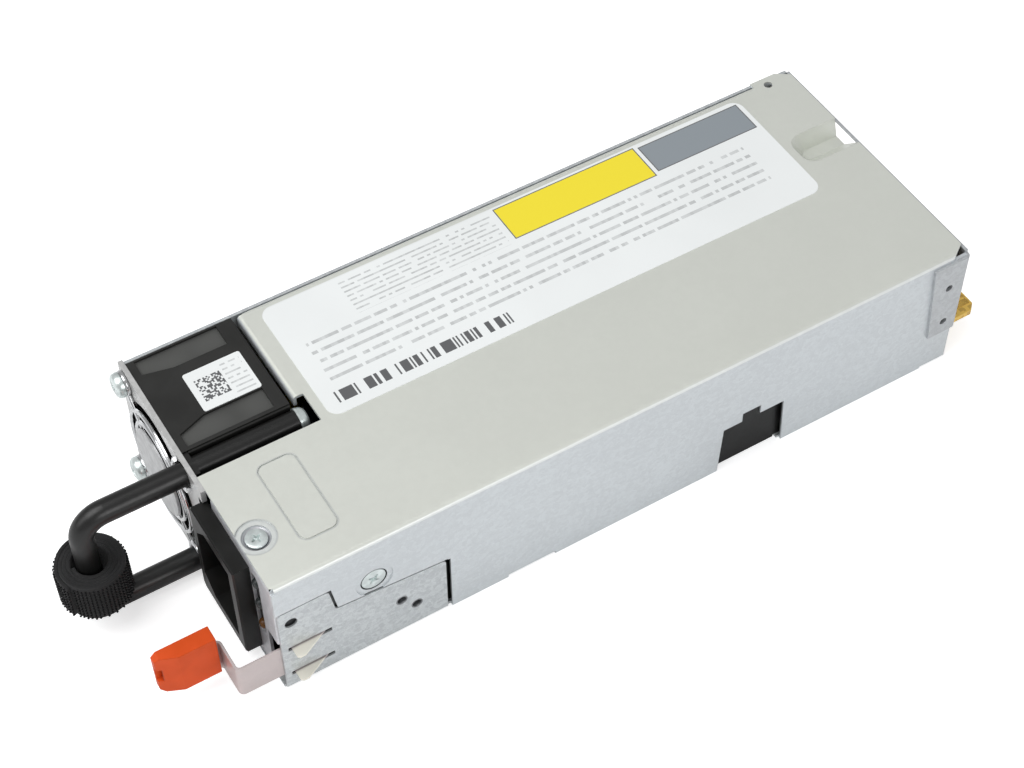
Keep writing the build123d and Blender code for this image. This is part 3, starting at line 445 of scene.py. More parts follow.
@dataclass(frozen=True)
class Board(Finish):
    """Solder mask over copper tracks."""

    def make(self, paint: Paint) -> None:
        """Builds the board's material."""
        x, y, _ = paint.axes()
        edges, cell = paint.cells(0.16)
        tracks = ((x + paint.grey(cell) * 6.0) * 0.5).fraction().within(0.0, 0.45)
        lines = ((y + paint.grey(cell) * 9.0) * 0.4).fraction().within(0.0, 0.4)
        copper = tracks.most(lines)
        colour = paint.blend(copper * 0.7, self.colour, toned(self.colour, 1.7, 0.01))
        normal = paint.bump(copper, 0.03, 0.5)
        paint.close(colour, 0.3 + edges * 0.05, Normal=normal)


@dataclass(frozen=True)
class WoundWire(Finish):
    """Enamelled wire laid in turns."""

    per_mm: float = 1.3

    def make(self, paint: Paint) -> None:
        """Builds the winding's material."""
        x, y, z = paint.axes()
        turns = abs(((x + y + z * 0.3) * self.per_mm * 0.5).fraction() - 0.5) * 2.0
        colour = paint.blend(turns.ease(0.05, 0.6), toned(self.colour, 0.35), self.colour)
        normal = paint.bump(1.0 - turns * turns, 0.25, 0.8)
        paint.close(colour, 0.28, Metallic=0.55, Normal=normal)


@dataclass(frozen=True)
class PrintedLabel(Finish):
    """White film with plain colour blocks, rules and bars, and nothing to read.

    Places are in millimetres in the frame of the part: x0, x1, y0 and y1.

    Attributes:
        blocks: Outlined blocks of one colour, each with its colour.
        rules: Fields of broken grey lines, each with the pitch of the lines.
        bars: Fields of plain bars.
        checks: Fields of plain squares.
        rim: Width of the line round a block.
        dash: Step along a rule.
        grid: Step of the bars and squares.
    """

    blocks: tuple[tuple[Span, Colour], ...] = ()
    rules: tuple[tuple[Span, float], ...] = ()
    bars: tuple[Span, ...] = ()
    checks: tuple[Span, ...] = ()
    rim: float = 0.3
    dash: float = 0.85
    grid: float = 0.42
    ink: Colour = (0.035, 0.035, 0.04)

    def make(self, paint: Paint) -> None:
        """Builds the label's material."""
        x, y, _ = paint.axes()
        cloud = paint.noise(0.03, 3.0)
        dirt = paint.noise(0.5, 4.0, rough=0.65).ease(0.62, 0.8)
        amount = cloud.ease(0.3, 0.7) * 0.6 + dirt * 0.25
        colour = paint.blend(amount, self.colour, toned(self.colour, 0.93))
        for (x0, x1, y0, y1), shade in self.blocks:
            wide = (x0 - self.rim, x1 + self.rim, y0 - self.rim, y1 + self.rim)
            colour = paint.blend(self._field(x, y, wide) * 0.85, colour, self.ink)
            colour = paint.blend(self._field(x, y, (x0, x1, y0, y1)), colour, shade)
        for span, pitch in self.rules:
            lines = (x - span[0]) / pitch
            broken = paint.chance(lines.floor(), (y / self.dash).floor(), 3.0)
            drawn = self._field(x, y, span) * lines.fraction().within(0.3, 0.62)
            shown = drawn * broken.above(0.2) * (0.18 + broken * 0.22)
            colour = paint.blend(shown, colour, self.ink)
        for span in self.bars:
            bar = paint.chance((y / self.grid).floor(), 7.0, 1.0).above(0.46)
            colour = paint.blend(self._field(x, y, span) * bar * 0.9, colour, self.ink)
        for span in self.checks:
            dot = paint.chance((x / self.grid).floor(), (y / self.grid).floor(), 5.0).above(0.5)
            colour = paint.blend(self._field(x, y, span) * dot * 0.9, colour, self.ink)
        normal = paint.bump(cloud * 0.7 + dirt * 0.3, 0.01, 0.3)
        paint.close(colour, 0.38 + dirt * 0.15, Normal=normal)

    def _field(self, x: Sock, y: Sock, span: Span) -> Sock:
        """One inside a field of the label, and zero outside it."""
        return x.within(span[0], span[1]) * y.within(span[2], span[3])


@dataclass(frozen=True)
class HookTape(Finish):
    """Knitted backing of a hook-and-loop tape."""

    pale: Colour = (0.05, 0.049, 0.05)
    fuzz: float = 0.3

    def make(self, paint: Paint) -> None:
        """Builds the tape's material."""
        knit = abs((paint.axes()[2] * 1.6).fraction() - 0.5) * 2.0
        loops = paint.noise(2.4, 4.0, rough=0.7)
        fine = paint.noise(7.0, 2.0)
        colour = paint.blend(loops.ease(0.5, 0.78) * self.fuzz + knit * 0.12, self.colour, self.pale)
        normal = paint.bump(loops * 0.6 + knit * 0.25 + fine * 0.15, 0.22, 0.8)
        paint.close(colour, 0.8, Sheen_Weight=0.08, Sheen_Roughness=0.5, Normal=normal)


ROOF = ZincSheet(
    "roof_zinc", (0.71, 0.745, 0.765), (0.63, 0.66, 0.68),
    crystal=1.1, crystal_show=0.3, cloud_show=0.22, marks=0.4, metallic=0.42, speckle=0.45,
    # the roof's top is painted a lighter, warmer lit tone than the sides of the same sheet
    painted_lit_tone=(2, 38.45, (0.765, 0.78, 0.71), 0.12),
    painted_lit_box=(-20.0, 0.0, 70.0, 94.0, 33.05),
    # painted shade inside the case
    painted_inside_shade=0.9,
    # painted shade along the pressed pad outlines
    groove_shade_outlines=((6.2, 29.0, -80.9, -71.5, 2.2), (18.1, 27.1, -93.2, -84.2, 4.5)),
    # painted shade in the rear tab's two holes and in the hole at the front corner
    painted_hole_shades=((36.75, 87.4, 28.8, 1.15), (36.75, 87.9, 16.5, 1.15), (36.6, -92.5, 38.8, 0.8)),
    # painted highlight along the fold beside the roof
    painted_fold_highlight=True,
)
PAN = ZincSheet(
    "pan_zinc", (0.67, 0.7, 0.71), (0.52, 0.545, 0.56),
    crystal=1.2, crystal_show=0.5, cloud_show=0.2, marks=0.6, metallic=0.45, speckle=0.8,
    # painted shade inside the case
    painted_inside_shade=0.9,
    # painted shade on the pan under the roof's rear left hole
    painted_hole_shades=((-34.0, 84.5, 37.6, 1.7),),
)
FLAP = ZincSheet(
    "flap_zinc", (0.6, 0.62, 0.635), (0.49, 0.505, 0.52),
    # painted shade inside the case
    crystal=1.0, crystal_show=0.4, marks=0.6, speckle=0.5, painted_inside_shade=0.9,
)
PANEL = ZincSheet(
    "panel_zinc", (0.7, 0.705, 0.73), (0.58, 0.585, 0.61),
    # painted shade inside the case
    crystal=0.8, roughness=0.36, marks=0.4, painted_inside_shade=0.95,
    # painted shade in the hole at the front corner
    painted_hole_shades=((36.6, -92.5, 38.8, 0.8),),
)
PLATE = ZincSheet(
    "plate_nickel", (0.7, 0.7, 0.69), (0.57, 0.57, 0.565),
    crystal_show=0.2, roughness=0.36, metallic=0.55,
)
STRIP = ZincSheet(
    "strip_steel", (0.665, 0.585, 0.575), (0.575, 0.505, 0.497),
    crystal=0.5, crystal_show=0.06, cloud_show=0.35, roughness=0.34, marks=0.3, metallic=0.45, speckle=0.08,
    # the teeth bent out past x = 36.8 are painted a light cream lit tone
    painted_lit_tone=(0, 36.8, (0.97, 0.93, 0.82), 0.0),
    # painted shade inside the case
    painted_inside_shade=0.85,
)
CHROME = Bright("guard_chrome", (0.78, 0.79, 0.8), roughness=0.13)
DISC = Bright(
    "disc_grey", (0.6, 0.605, 0.61),
    roughness=0.36, metallic=0.7, grain=0.012, per_mm=1.6, stretch=(1.0, 1.0, 0.12),
)
EYELET = Bright("eyelet_steel", (0.3, 0.31, 0.32), roughness=0.4)
SCREW = Bright("screw_zinc", (0.82, 0.89, 0.88), roughness=0.28, metallic=0.7, grain=0.012, per_mm=1.2)
PIN = Bright("pin_nickel", (0.78, 0.74, 0.66), roughness=0.16)
STEEL = Bright("ground_steel", (0.5, 0.5, 0.5), roughness=0.25)
GOLD = Bright("contact_gold", (0.86, 0.55, 0.13), roughness=0.25, metallic=0.8)
COPPER = Bright("bare_copper", (0.62, 0.28, 0.13), roughness=0.3)
CAN = Bright("bare_can", (0.68, 0.69, 0.7), roughness=0.28)
SINK = Bright(
    "sink_metal", (0.6, 0.61, 0.62), roughness=0.42, grain=0.08, per_mm=1.5, stretch=(0.1, 1.0, 1.0)
)
FAN_PLASTIC = Moulded(
    "fan_plastic", (0.0125, 0.0125, 0.0115), roughness=0.4, grain=0.008, per_mm=3.2, fleck=0.3,
    sunk=(37.5, 38.1, (0.078, 0.079, 0.075)),
)
INLET_PLASTIC = Moulded(
    "inlet_plastic", (0.0055, 0.0055, 0.005),
    roughness=0.36, grain=0.004, per_mm=3.2, fleck=0.06, edge_mm=0.25, gloss=0.24,
)
ROTOR_PLASTIC = Moulded("rotor_plastic", (0.009, 0.009, 0.01), roughness=0.36)
HOLDER_PLASTIC = Moulded("holder_plastic", (0.009, 0.009, 0.01), roughness=0.5)
GRIP_PLASTIC = Moulded(
    "grip_orange", (0.62, 0.07, 0.008),
    roughness=0.43, grain=0.005, per_mm=2.2, fleck=0.03, edge_mm=0.35, gloss=0.16,
)
CAPACITOR_SLEEVE = Moulded("capacitor_sleeve", (0.02, 0.028, 0.06), roughness=0.25)
FILM_CASE = Moulded("film_case", (0.5, 0.36, 0.04), roughness=0.3)
RELAY_CASE = Moulded("relay_case", (0.04, 0.05, 0.07), roughness=0.35)
CERAMIC = Moulded("ceramic_disc", (0.04, 0.13, 0.28), roughness=0.25)
CHIP = Moulded("chip_package", (0.018, 0.018, 0.02), roughness=0.5)
FERRITE = Moulded("ferrite", (0.035, 0.035, 0.038), roughness=0.65, grain=0.02, per_mm=1.5)
MAGNET = Moulded("bonded_magnet", (0.05, 0.05, 0.05), roughness=0.6)
FILM = Moulded(
    "insulating_film", (0.006, 0.006, 0.006),
    roughness=0.34, grain=0.003, per_mm=1.2, fleck=0.08, edge_mm=0.1, gloss=0.22,
)
HANDLE_COAT = PowderCoat("handle_coat", (0.007, 0.007, 0.0068))
CLEAR = Lens("clear_lens", (0.03, 0.035, 0.035))
AMBER = Lens("amber_lens", (0.12, 0.05, 0.012))
GREEN_BOARD = Board("green_board", (0.012, 0.09, 0.035))
CARD = Board("card_board", (0.62, 0.38, 0.07))
WINDING = WoundWire("wire_enamel", (0.45, 0.16, 0.06))
TAPE = HookTape("strap_tape", (0.0035, 0.0035, 0.004))
HOOKS = Moulded(
    "strap_hooks", (0.0025, 0.0025, 0.003),
    roughness=0.42, grain=0.004, per_mm=4.0, fleck=0.05, edge_mm=0.05, gloss=0.2,
)
RATING = PrintedLabel(
    "rating_label", (0.85, 0.87, 0.865),
    blocks=(
        ((-32.6, -22.2, 3.0, 42.6), (0.89, 0.735, 0.03)),
        ((-32.0, -23.2, 44.2, 73.0), (0.265, 0.295, 0.32)),
    ),
    rules=(((-20.0, -5.0, -55.0, 66.0), 2.9), ((-32.0, -21.0, -40.0, 1.0), 1.5)),
    bars=((-3.4, 0.0, -56.3, -10.6),),
)
FAN_TAG = PrintedLabel(
    "fan_tag", (0.85, 0.87, 0.865),
    rules=(((-24.6, -14.6, -74.4, -69.6), 1.5),),
    checks=((-22.7, -16.0, -81.5, -75.1),),
)


# mesh helpers


def add_object(name: str, data: Any) -> Piece:
    """Makes an object at the origin and puts it in the scene."""
    made = bpy.data.objects.new(name, data)
    bpy.context.scene.collection.objects.link(made)
    return made


def as_data(name: str, mesh: Mesh) -> bpy.types.Mesh:
    """Turns a bmesh into mesh data, and frees it."""
    data = bpy.data.meshes.new(name)
    mesh.to_mesh(data)
    mesh.free()
    return data


def pour(mesh: Mesh, part: Mesh) -> None:
    """Adds one bmesh to another, and frees it."""
    data = as_data("part", part)
    mesh.from_mesh(data)
    bpy.data.meshes.remove(data)


def circle(mesh: Mesh, radius: float, height: float, sides: int, cap: bool) -> tuple[Verts, Edges]:
    """Starts a round outline about Z at a height, closed by a face or open."""
    verts = bmesh.ops.create_circle(mesh, cap_ends=cap, segments=sides, radius=radius)["verts"]
    for vert in verts:
        vert.co.z = height
    return verts, list({edge for vert in verts for edge in vert.link_edges})


def pull(mesh: Mesh, edges: Edges) -> tuple[Verts, Edges]:
    """Extrudes an outline, and gives back its new points and edges."""
    made = bmesh.ops.extrude_edge_only(mesh, edges=edges)["geom"]
    verts = [item for item in made if isinstance(item, bmesh.types.BMVert)]
    lines = (item for item in made if isinstance(item, bmesh.types.BMEdge))
    return verts, [line for line in lines if all(vert in verts for vert in line.verts)]


def revolve(mesh: Mesh, edges: Edges, rings: Rings) -> tuple[Verts, Edges]:
    """Draws a round outline through rings, and gives back the new points and the last outline."""
    every = []
    for radius, height in rings:
        verts, edges = pull(mesh, edges)
        for vert in verts:
            flat = Vector((vert.co.x, vert.co.y, 0.0)).normalized() * radius
            vert.co = Vector((flat.x, flat.y, height))
        every += verts
    return every, edges


def shape(name: str, mesh: Mesh, body: str, finish: Finish, smooth: float = 35.0) -> Piece:
    """Makes a piece from a bmesh whose points are already in place.

    Args:
        name: The piece's name.
        mesh: The bmesh, which is freed.
        body: The CAD body that it rides on.
        finish: Its finish.
        slot: The record's material slot.
        smooth: Faces that meet at less than this angle are shaded as one, in degrees.

    Returns:
        The piece.
    """
    bmesh.ops.remove_doubles(mesh, verts=mesh.verts, dist=1e-7)
    bmesh.ops.recalc_face_normals(mesh, faces=mesh.faces)
    for face in mesh.faces:
        face.smooth = True
    for edge in mesh.edges:
        edge.smooth = len(edge.link_faces) == 2 and edge.calc_face_angle(0.0) < math.radians(smooth)
    piece = add_object(name, as_data(name, mesh))
    finish.on(piece)
    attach(piece, body)
    return piece


def facing(axis: Vector, spin: float = 0.0) -> Matrix:
    """A turn that takes +Z to an axis, after a spin about Z."""
    return axis.to_track_quat("Z", "Y").to_matrix().to_4x4() @ Matrix.Rotation(spin, 4, "Z")


@dataclass(frozen=True)
class CrossHead:
    """A screw head with a cross recess, in millimetres, with its top at height zero.

    Attributes:
        rim: Rings of the head from its flat top outward and down, as radius and height.
        shank_r: Radius of the shank.
        shank_end: Height at which the shank ends.
        arm: Half length of the recess.
        arm_w: Half width of an arm.
        depth: Depth of the recess.
        taper: How wide the floor of the recess is, against its top.
        sides: How many sides the round shapes have.
    """

    rim: Rings
    shank_end: float
    arm: float
    arm_w: float
    depth: float
    shank_r: float = 1.35
    taper: float = 0.55
    sides: int = 32

    def add_to(self, mesh: Mesh, place: Vector, axis: Vector, spin: float) -> None:
        """Adds one screw.

        Args:
            mesh: The bmesh that takes it.
            place: Middle of its top, in metres.
            axis: The way that it faces.
            spin: How far its recess is turned, in radians.
        """
        part = bmesh.new()
        _, ring = circle(part, *self.rim[0], self.sides, False)
        inner_edges = self._cross(part, self.rim[0][1])
        bmesh.ops.triangle_fill(part, use_beauty=True, use_dissolve=False, edges=ring + inner_edges)
        for face in [f for f in part.faces if f.calc_center_median().length < self.arm_w * 0.7]:
            part.faces.remove(face)
        self._sink(part, inner_edges)
        shank = ((self.shank_r, self.rim[-1][1]), (self.shank_r, self.shank_end))
        _, loop = revolve(part, ring, (*self.rim[1:], *shank))
        bmesh.ops.holes_fill(part, edges=loop, sides=self.sides)
        bmesh.ops.scale(part, vec=(MM, MM, MM), verts=part.verts)
        bmesh.ops.transform(part, matrix=Matrix.Translation(place) @ facing(axis, spin), verts=part.verts)
        pour(mesh, part)

    def _cross(self, part: Mesh, height: float) -> Edges:
        """The outline of the recess at the top of the head."""
        arm, half = self.arm, self.arm_w
        corner = half * 1.35
        quarter = [(arm, -half * 0.7), (arm, half * 0.7), (corner, corner * 0.92)]
        points = []
        for turn in range(4):
            rot = Matrix.Rotation(turn * math.pi / 2, 3, "Z")
            points += [rot @ Vector((x, y, 0.0)) for x, y in quarter]
        verts = [part.verts.new((p.x, p.y, height)) for p in points]
        return [part.edges.new((verts[i], verts[(i + 1) % len(verts)])) for i in range(len(verts))]

    def _sink(self, part: Mesh, edges: Edges) -> None:
        """Draws the outline of the recess down to its tapered floor."""
        verts, floor = pull(part, edges)
        for vert in verts:
            vert.co = Vector((vert.co.x * self.taper, vert.co.y * self.taper, vert.co.z - self.depth))
        bmesh.ops.triangle_fill(part, use_beauty=True, use_dissolve=False, edges=floor)


# sub-assemblies


class Assembly:
    """A part of the object that builds and dresses itself."""

    def build(self) -> list[Piece]:
        """Builds and dresses it, and gives back the new pieces."""
        raise NotImplementedError


@dataclass
class FoldedCase(Assembly):
    """The folded sheets, their flush screws and the rating label."""

    flush: CrossHead = CrossHead(
        ((2.7, 0.0), (2.95, -0.08), (3.0, -0.35), (1.45, -1.4)), -4.6, 1.5, 0.32, 0.8
    )
    small: CrossHead = CrossHead(
        ((2.25, 0.0), (2.5, -0.08), (2.55, -0.35), (1.45, -1.1)), -4.6, 1.3, 0.3, 0.8
    )
    roof_screw: Triple = (22.6, -88.7, 38.65)
    side_screw: Triple = (36.4, -68.7, 25.0)

    def build(self) -> list[Piece]:
        """Dresses the sheets and makes the two flush screws."""
        ROOF.on("top_cover")
        PAN.on("base_pan")
        FLAP.on("rear_panel")
        PANEL.on("front_panel")
        FILM.on("insulating_film")
        RATING.on("rating_label")
        mesh = bmesh.new()
        self.small.add_to(mesh, Vector(self.roof_screw) * MM, Vector((0, 0, 1)), 0.35)
        self.flush.add_to(mesh, Vector(self.side_screw) * MM, Vector((1, 0, 0)), 0.9)
        screws = shape("flush_screws", mesh, "case", SCREW)
        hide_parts("cover_screws")
        return [screws]


@dataclass
class FanUnit(Assembly):
    """The fan, its plate, guard and screws, in millimetres.

    Attributes:
        hole_x: How far the screws stand from the fan's axis along X.
        hole_z: How far they stand from it along Z.
        face: Place of the plate's front along Y.
    """

    axis_x: float = -18.05
    axis_z: float = 19.75
    hole_x: float = 15.1
    hole_z: float = 15.8
    face: float = -94.9
    head_h: float = 2.0
    pan: CrossHead = CrossHead(
        ((1.9, 0.0), (2.5, -0.22), (2.95, -0.7), (3.1, -1.3), (3.1, -2.0)), -10.0, 1.35, 0.3, 1.1
    )

    def build(self) -> list[Piece]:
        """Dresses the fan and makes its two front screws."""
        FAN_PLASTIC.on("fan_housing")
        ROTOR_PLASTIC.on("fan_rotor")
        STEEL.on("fan_shaft", "fan_bearings")
        MAGNET.on("fan_magnet")
        WINDING.on("fan_stator")
        GREEN_BOARD.on("fan_circuit")
        FAN_TAG.on("fan_label")
        PLATE.on("fan_plate")
        CHROME.on("finger_guard")
        DISC.on("guard_disc")
        mesh = bmesh.new()
        for side, spin in ((1, 0.4), (-1, 1.1)):
            height = self.axis_z + side * self.hole_z
            place = Vector((self.axis_x - self.hole_x, self.face - self.head_h, height))
            self.pan.add_to(mesh, place * MM, Vector((0, -1, 0)), spin)
        screws = shape("guard_screws", mesh, "case", SCREW)
        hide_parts("fan_screws")
        return [screws]


@dataclass
class HandleUnit(Assembly):
    """The bent rod, its rear screws and the strap rolled round it, in millimetres.

    Attributes:
        leg_end: Where the rod's two legs end along Y.
        roll_y: Middle of the roll along Y.
        roll_low: Its lowest height.
        steps: Steps in a turn of the tape.
        end_angle: Where the tape ends, in degrees.
        margin: How far each edge of the tape stays inside its width.
        lift: How far the lower edge is raised over the first share of the tape, which is start.
        hook_pitch: Distance between two hooks.
        hook_low: Height of the lowest row above the roll's lowest height.
        hook_clear: How far the hooks stay off the tape's lower and upper edge.
        sway: How far a hook stands off its place.
    """

    rod_x: float = -2.95
    leg_high: float = 35.55
    leg_low: float = 3.95
    leg_end: float = -65.9
    washer: float = 0.6
    head_h: float = 1.9
    roll_y: float = -118.6
    roll_low: float = 8.6
    tape_w: float = 12.4
    tape_t: float = 0.95
    inner_r: float = 3.6
    outer_r: float = 8.25
    turns: float = 4.1
    steps: int = 44
    hook_pitch: float = 1.0
    hook_low: float = 0.7
    hook_clear: tuple[float, float] = (0.35, 0.3)
    sway: float = 0.02
    end_angle: float = -62.0
    margin: float = 0.25
    lift: float = 1.6
    start: float = 0.3
    pan: CrossHead = CrossHead(
        ((1.6, 0.0), (2.3, -0.25), (2.75, -0.75), (2.9, -1.3), (2.9, -1.9)), -1.95, 1.3, 0.3, 1.0
    )

    def build(self) -> list[Piece]:
        """Dresses the rod and makes the screws and the strap."""
        HANDLE_COAT.on("handle")
        SCREW.on("handle_washers")
        mesh = bmesh.new()
        for height, spin in ((self.leg_high, 0.2), (self.leg_low, 0.8)):
            place = Vector((self.rod_x, self.leg_end + self.washer + self.head_h, height))
            self.pan.add_to(mesh, place * MM, Vector((0, 1, 0)), spin)
        screws = shape("rod_screws", mesh, "case", SCREW)
        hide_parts("handle_screws")
        tape, length = self._tape()
        hooks = self._hooks()
        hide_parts("cable_strap")
        return [screws, tape, hooks]

    def _radius(self, share: float) -> float:
        """Radius of the tape's middle, in millimetres, at a share of its length."""
        return self.inner_r + self.tape_t / 2 + (self.outer_r - self.inner_r - self.tape_t) * share

    def _angle(self, share: float) -> float:
        """Angle of the tape at a share of its length, in radians."""
        return math.radians(self.end_angle) - (1.0 - share) * self.turns * math.tau

    def _edges(self, share: float) -> tuple[float, float]:
        """Heights of the tape's lower and upper edge at a share of its length, in millimetres."""
        angle = self._angle(share)
        wave = 0.16 * math.sin(angle * 1.7) + 0.1 * math.sin(angle * 4.1 + 1.0)
        rounding = max(0.0, (share - 0.95) / 0.05) * 0.8
        lift = max(0.0, (self.start - share) / self.start) * self.lift
        low = self.roll_low + self.margin + wave + rounding + lift
        high = self.roll_low + self.tape_w - self.margin + wave * 0.8 - rounding
        return low, high

    def _place(self, radius: float, angle: float) -> Vector:
        """A place round the roll's axis, at height zero, in millimetres."""
        return Vector((self.rod_x + radius * math.cos(angle), self.roll_y + radius * math.sin(angle), 0.0))

    def _tape(self) -> tuple[Piece, float]:
        """The rolled tape, and its length in metres."""
        count = int(self.steps * self.turns)
        mesh = bmesh.new()
        rows, middles = [], []
        for share in (index / count for index in range(count + 1)):
            middle = self._place(self._radius(share), self._angle(share))
            low, high = self._edges(share)
            heights = (low, (low * 2 + high) / 3, (low + high * 2) / 3, high)
            rows.append([mesh.verts.new(Vector((middle.x, middle.y, height)) * MM) for height in heights])
            middles.append(middle)
        for one, two in zip(rows, rows[1:]):
            for k in range(len(one) - 1):
                mesh.faces.new((one[k], two[k], two[k + 1], one[k + 1]))
        bmesh.ops.recalc_face_normals(mesh, faces=mesh.faces)
        for face in mesh.faces:
            face.smooth = True
        tape = add_object("strap_tape", as_data("strap_tape", mesh))
        length = sum((two - one).length for one, two in zip(middles, middles[1:]))
        wall = tape.modifiers.new("wall", "SOLIDIFY")
        wall.thickness = self.tape_t * MM
        wall.offset = 0.0
        rounding = tape.modifiers.new("edges", "BEVEL")
        rounding.width = 0.2 * MM
        rounding.segments = 2
        rounding.limit_method = "ANGLE"
        TAPE.on(tape)
        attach(tape, "strap")
        return tape, length * MM

    def _seed(self) -> bpy.types.Mesh:
        """One hook that stands on its origin, as mesh data in millimetres."""
        seed = bmesh.new()
        bmesh.ops.create_cone(seed, cap_ends=True, segments=6, radius1=0.2, radius2=0.16, depth=0.3)
        bmesh.ops.translate(seed, vec=(0, 0, 0.15), verts=seed.verts)
        knob = bmesh.ops.create_uvsphere(seed, u_segments=8, v_segments=5, radius=0.3)["verts"]
        bmesh.ops.scale(seed, vec=(1.0, 0.9, 0.6), verts=knob)
        bmesh.ops.translate(seed, vec=(0.03, 0, 0.34), verts=knob)
        return as_data("hook_seed", seed)

    def _hooks(self) -> Piece:
        """Rows of small hooks on the outside of the last turn."""
        mesh = bmesh.new()
        template = self._seed()
        outer = self._radius(1.0) + self.tape_t / 2
        around = int(math.tau * outer / self.hook_pitch)
        rows = int(self.tape_w / self.hook_pitch) - 1
        for step in range(around):
            share = 1.0 - step / around / self.turns
            angle, radius = self._angle(share), self._radius(share) + self.tape_t / 2
            low, high = self._edges(share)
            for row in range(rows):
                height = self.roll_low + self.hook_low + (row + 0.25 * (step % 2)) * self.hook_pitch
                jitter = math.sin(step * 12.9898 + row * 78.233) * self.sway
                if not low + self.hook_clear[0] < height < high - self.hook_clear[1]:
                    continue
                way = Vector((math.cos(angle), math.sin(angle), jitter * 2.0)).normalized()
                place = Vector((self.rod_x + radius * way.x, self.roll_y + radius * way.y, height + jitter))
                made = bmesh.new()
                made.from_mesh(template)
                turn = Matrix.Translation(place) @ facing(way, (row % 2) * math.pi + jitter * 6.0)
                bmesh.ops.transform(made, matrix=Matrix.Scale(MM, 4) @ turn, verts=made.verts)
                pour(mesh, made)
        bpy.data.meshes.remove(template)
        return shape("strap_hooks", mesh, "strap", HOOKS, 60.0)


@dataclass
class InletUnit(Assembly):
    """The mains inlet and what stands behind it."""

    def build(self) -> list[Piece]:
        """Dresses the inlet, its pins and the filter board."""
        INLET_PLASTIC.on("inlet_body")
        PIN.on("inlet_power_pins", "inlet_earth_pin")
        GREEN_BOARD.on("filter_board")
        CERAMIC.on("safety_capacitors")
        return []


@dataclass
class StatusLights(Assembly):
    """The lights between the inlet and the edge of the front panel."""

    def build(self) -> list[Piece]:
        """Dresses the lights, their holder and their board."""
        HOLDER_PLASTIC.on("light_holder")
        CLEAR.on("light_pipes")
        AMBER.on("fault_lamp")
        CAN.on("status_chips")
        GREEN_BOARD.on("light_board")
        return []


@dataclass
class Latch(Assembly):
    """The spring strip, the hollow rivets that hold it and its grip.

    Attributes:
        places: Middles of the rivets along Y and Z, in millimetres.
        plate_x: Outer face of the plate along X, in millimetres.
        profile: Radius and height of the rivet's bore and flange, from its far end to the plate.
        sides: How many sides a rivet has.
    """

    places: Rings = ((-62.6, 12.2), (-58.9, 8.2))
    plate_x: float = 36.75
    profile: Rings = ((0.98, -1.5), (1.0, -0.3), (1.14, 0.02), (1.3, 0.08), (1.42, 0.04), (1.45, 0.0))
    sides: int = 32

    def build(self) -> list[Piece]:
        """Dresses the strip and the grip, and makes the rivets."""
        STRIP.on("latch_root", "latch_spring")
        GRIP_PLASTIC.on("latch_grip")
        mesh = bmesh.new()
        for along, height in self.places:
            self._eyelet(mesh, Vector((self.plate_x, along, height)))
        rivets = shape("hollow_rivets", mesh, "case", EYELET)
        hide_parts("latch_rivets")
        return [rivets]

    def _eyelet(self, mesh: Mesh, place: Vector) -> None:
        """Adds one hollow rivet whose axis meets the plate at a place in millimetres."""
        ring, loop = circle(mesh, *self.profile[0], self.sides, True)
        verts, _ = revolve(mesh, loop, self.profile[1:])
        turn = Matrix.Scale(MM, 4) @ Matrix.Translation(place) @ facing(Vector((1, 0, 0)))
        bmesh.ops.transform(mesh, matrix=turn, verts=list(ring) + verts)


@dataclass
class Inside(Assembly):
    """Boards and parts inside the case, seen only through its vents."""

    def build(self) -> list[Piece]:
        """Dresses what the case holds."""
        GREEN_BOARD.on("main_board", "control_board")
        CARD.on("output_card")
        GOLD.on("card_contacts")
        COPPER.on("copper_bars")
        CAPACITOR_SLEEVE.on("bulk_capacitor")
        HOLDER_PLASTIC.on("capacitor_rest", "choke_base", "transformer_bobbin")
        WINDING.on("boost_choke", "filter_choke", "transformer_winding")
        FILM_CASE.on("film_capacitor")
        RELAY_CASE.on("relay", "fuse")
        FERRITE.on("transformer_core")
        SINK.on("heat_sink_left", "heat_sink_right")
        CHIP.on("control_chips")
        CAN.on("output_capacitors", "board_posts")
        SCREW.on("board_screws")
        return []


# studio


class Ray(Enum):
    """Kinds of light ray that a background can answer."""

    SEEN = "Is Camera Ray"
    MIRRORED = "Is Glossy Ray"
    THROUGH = "Is Transmission Ray"


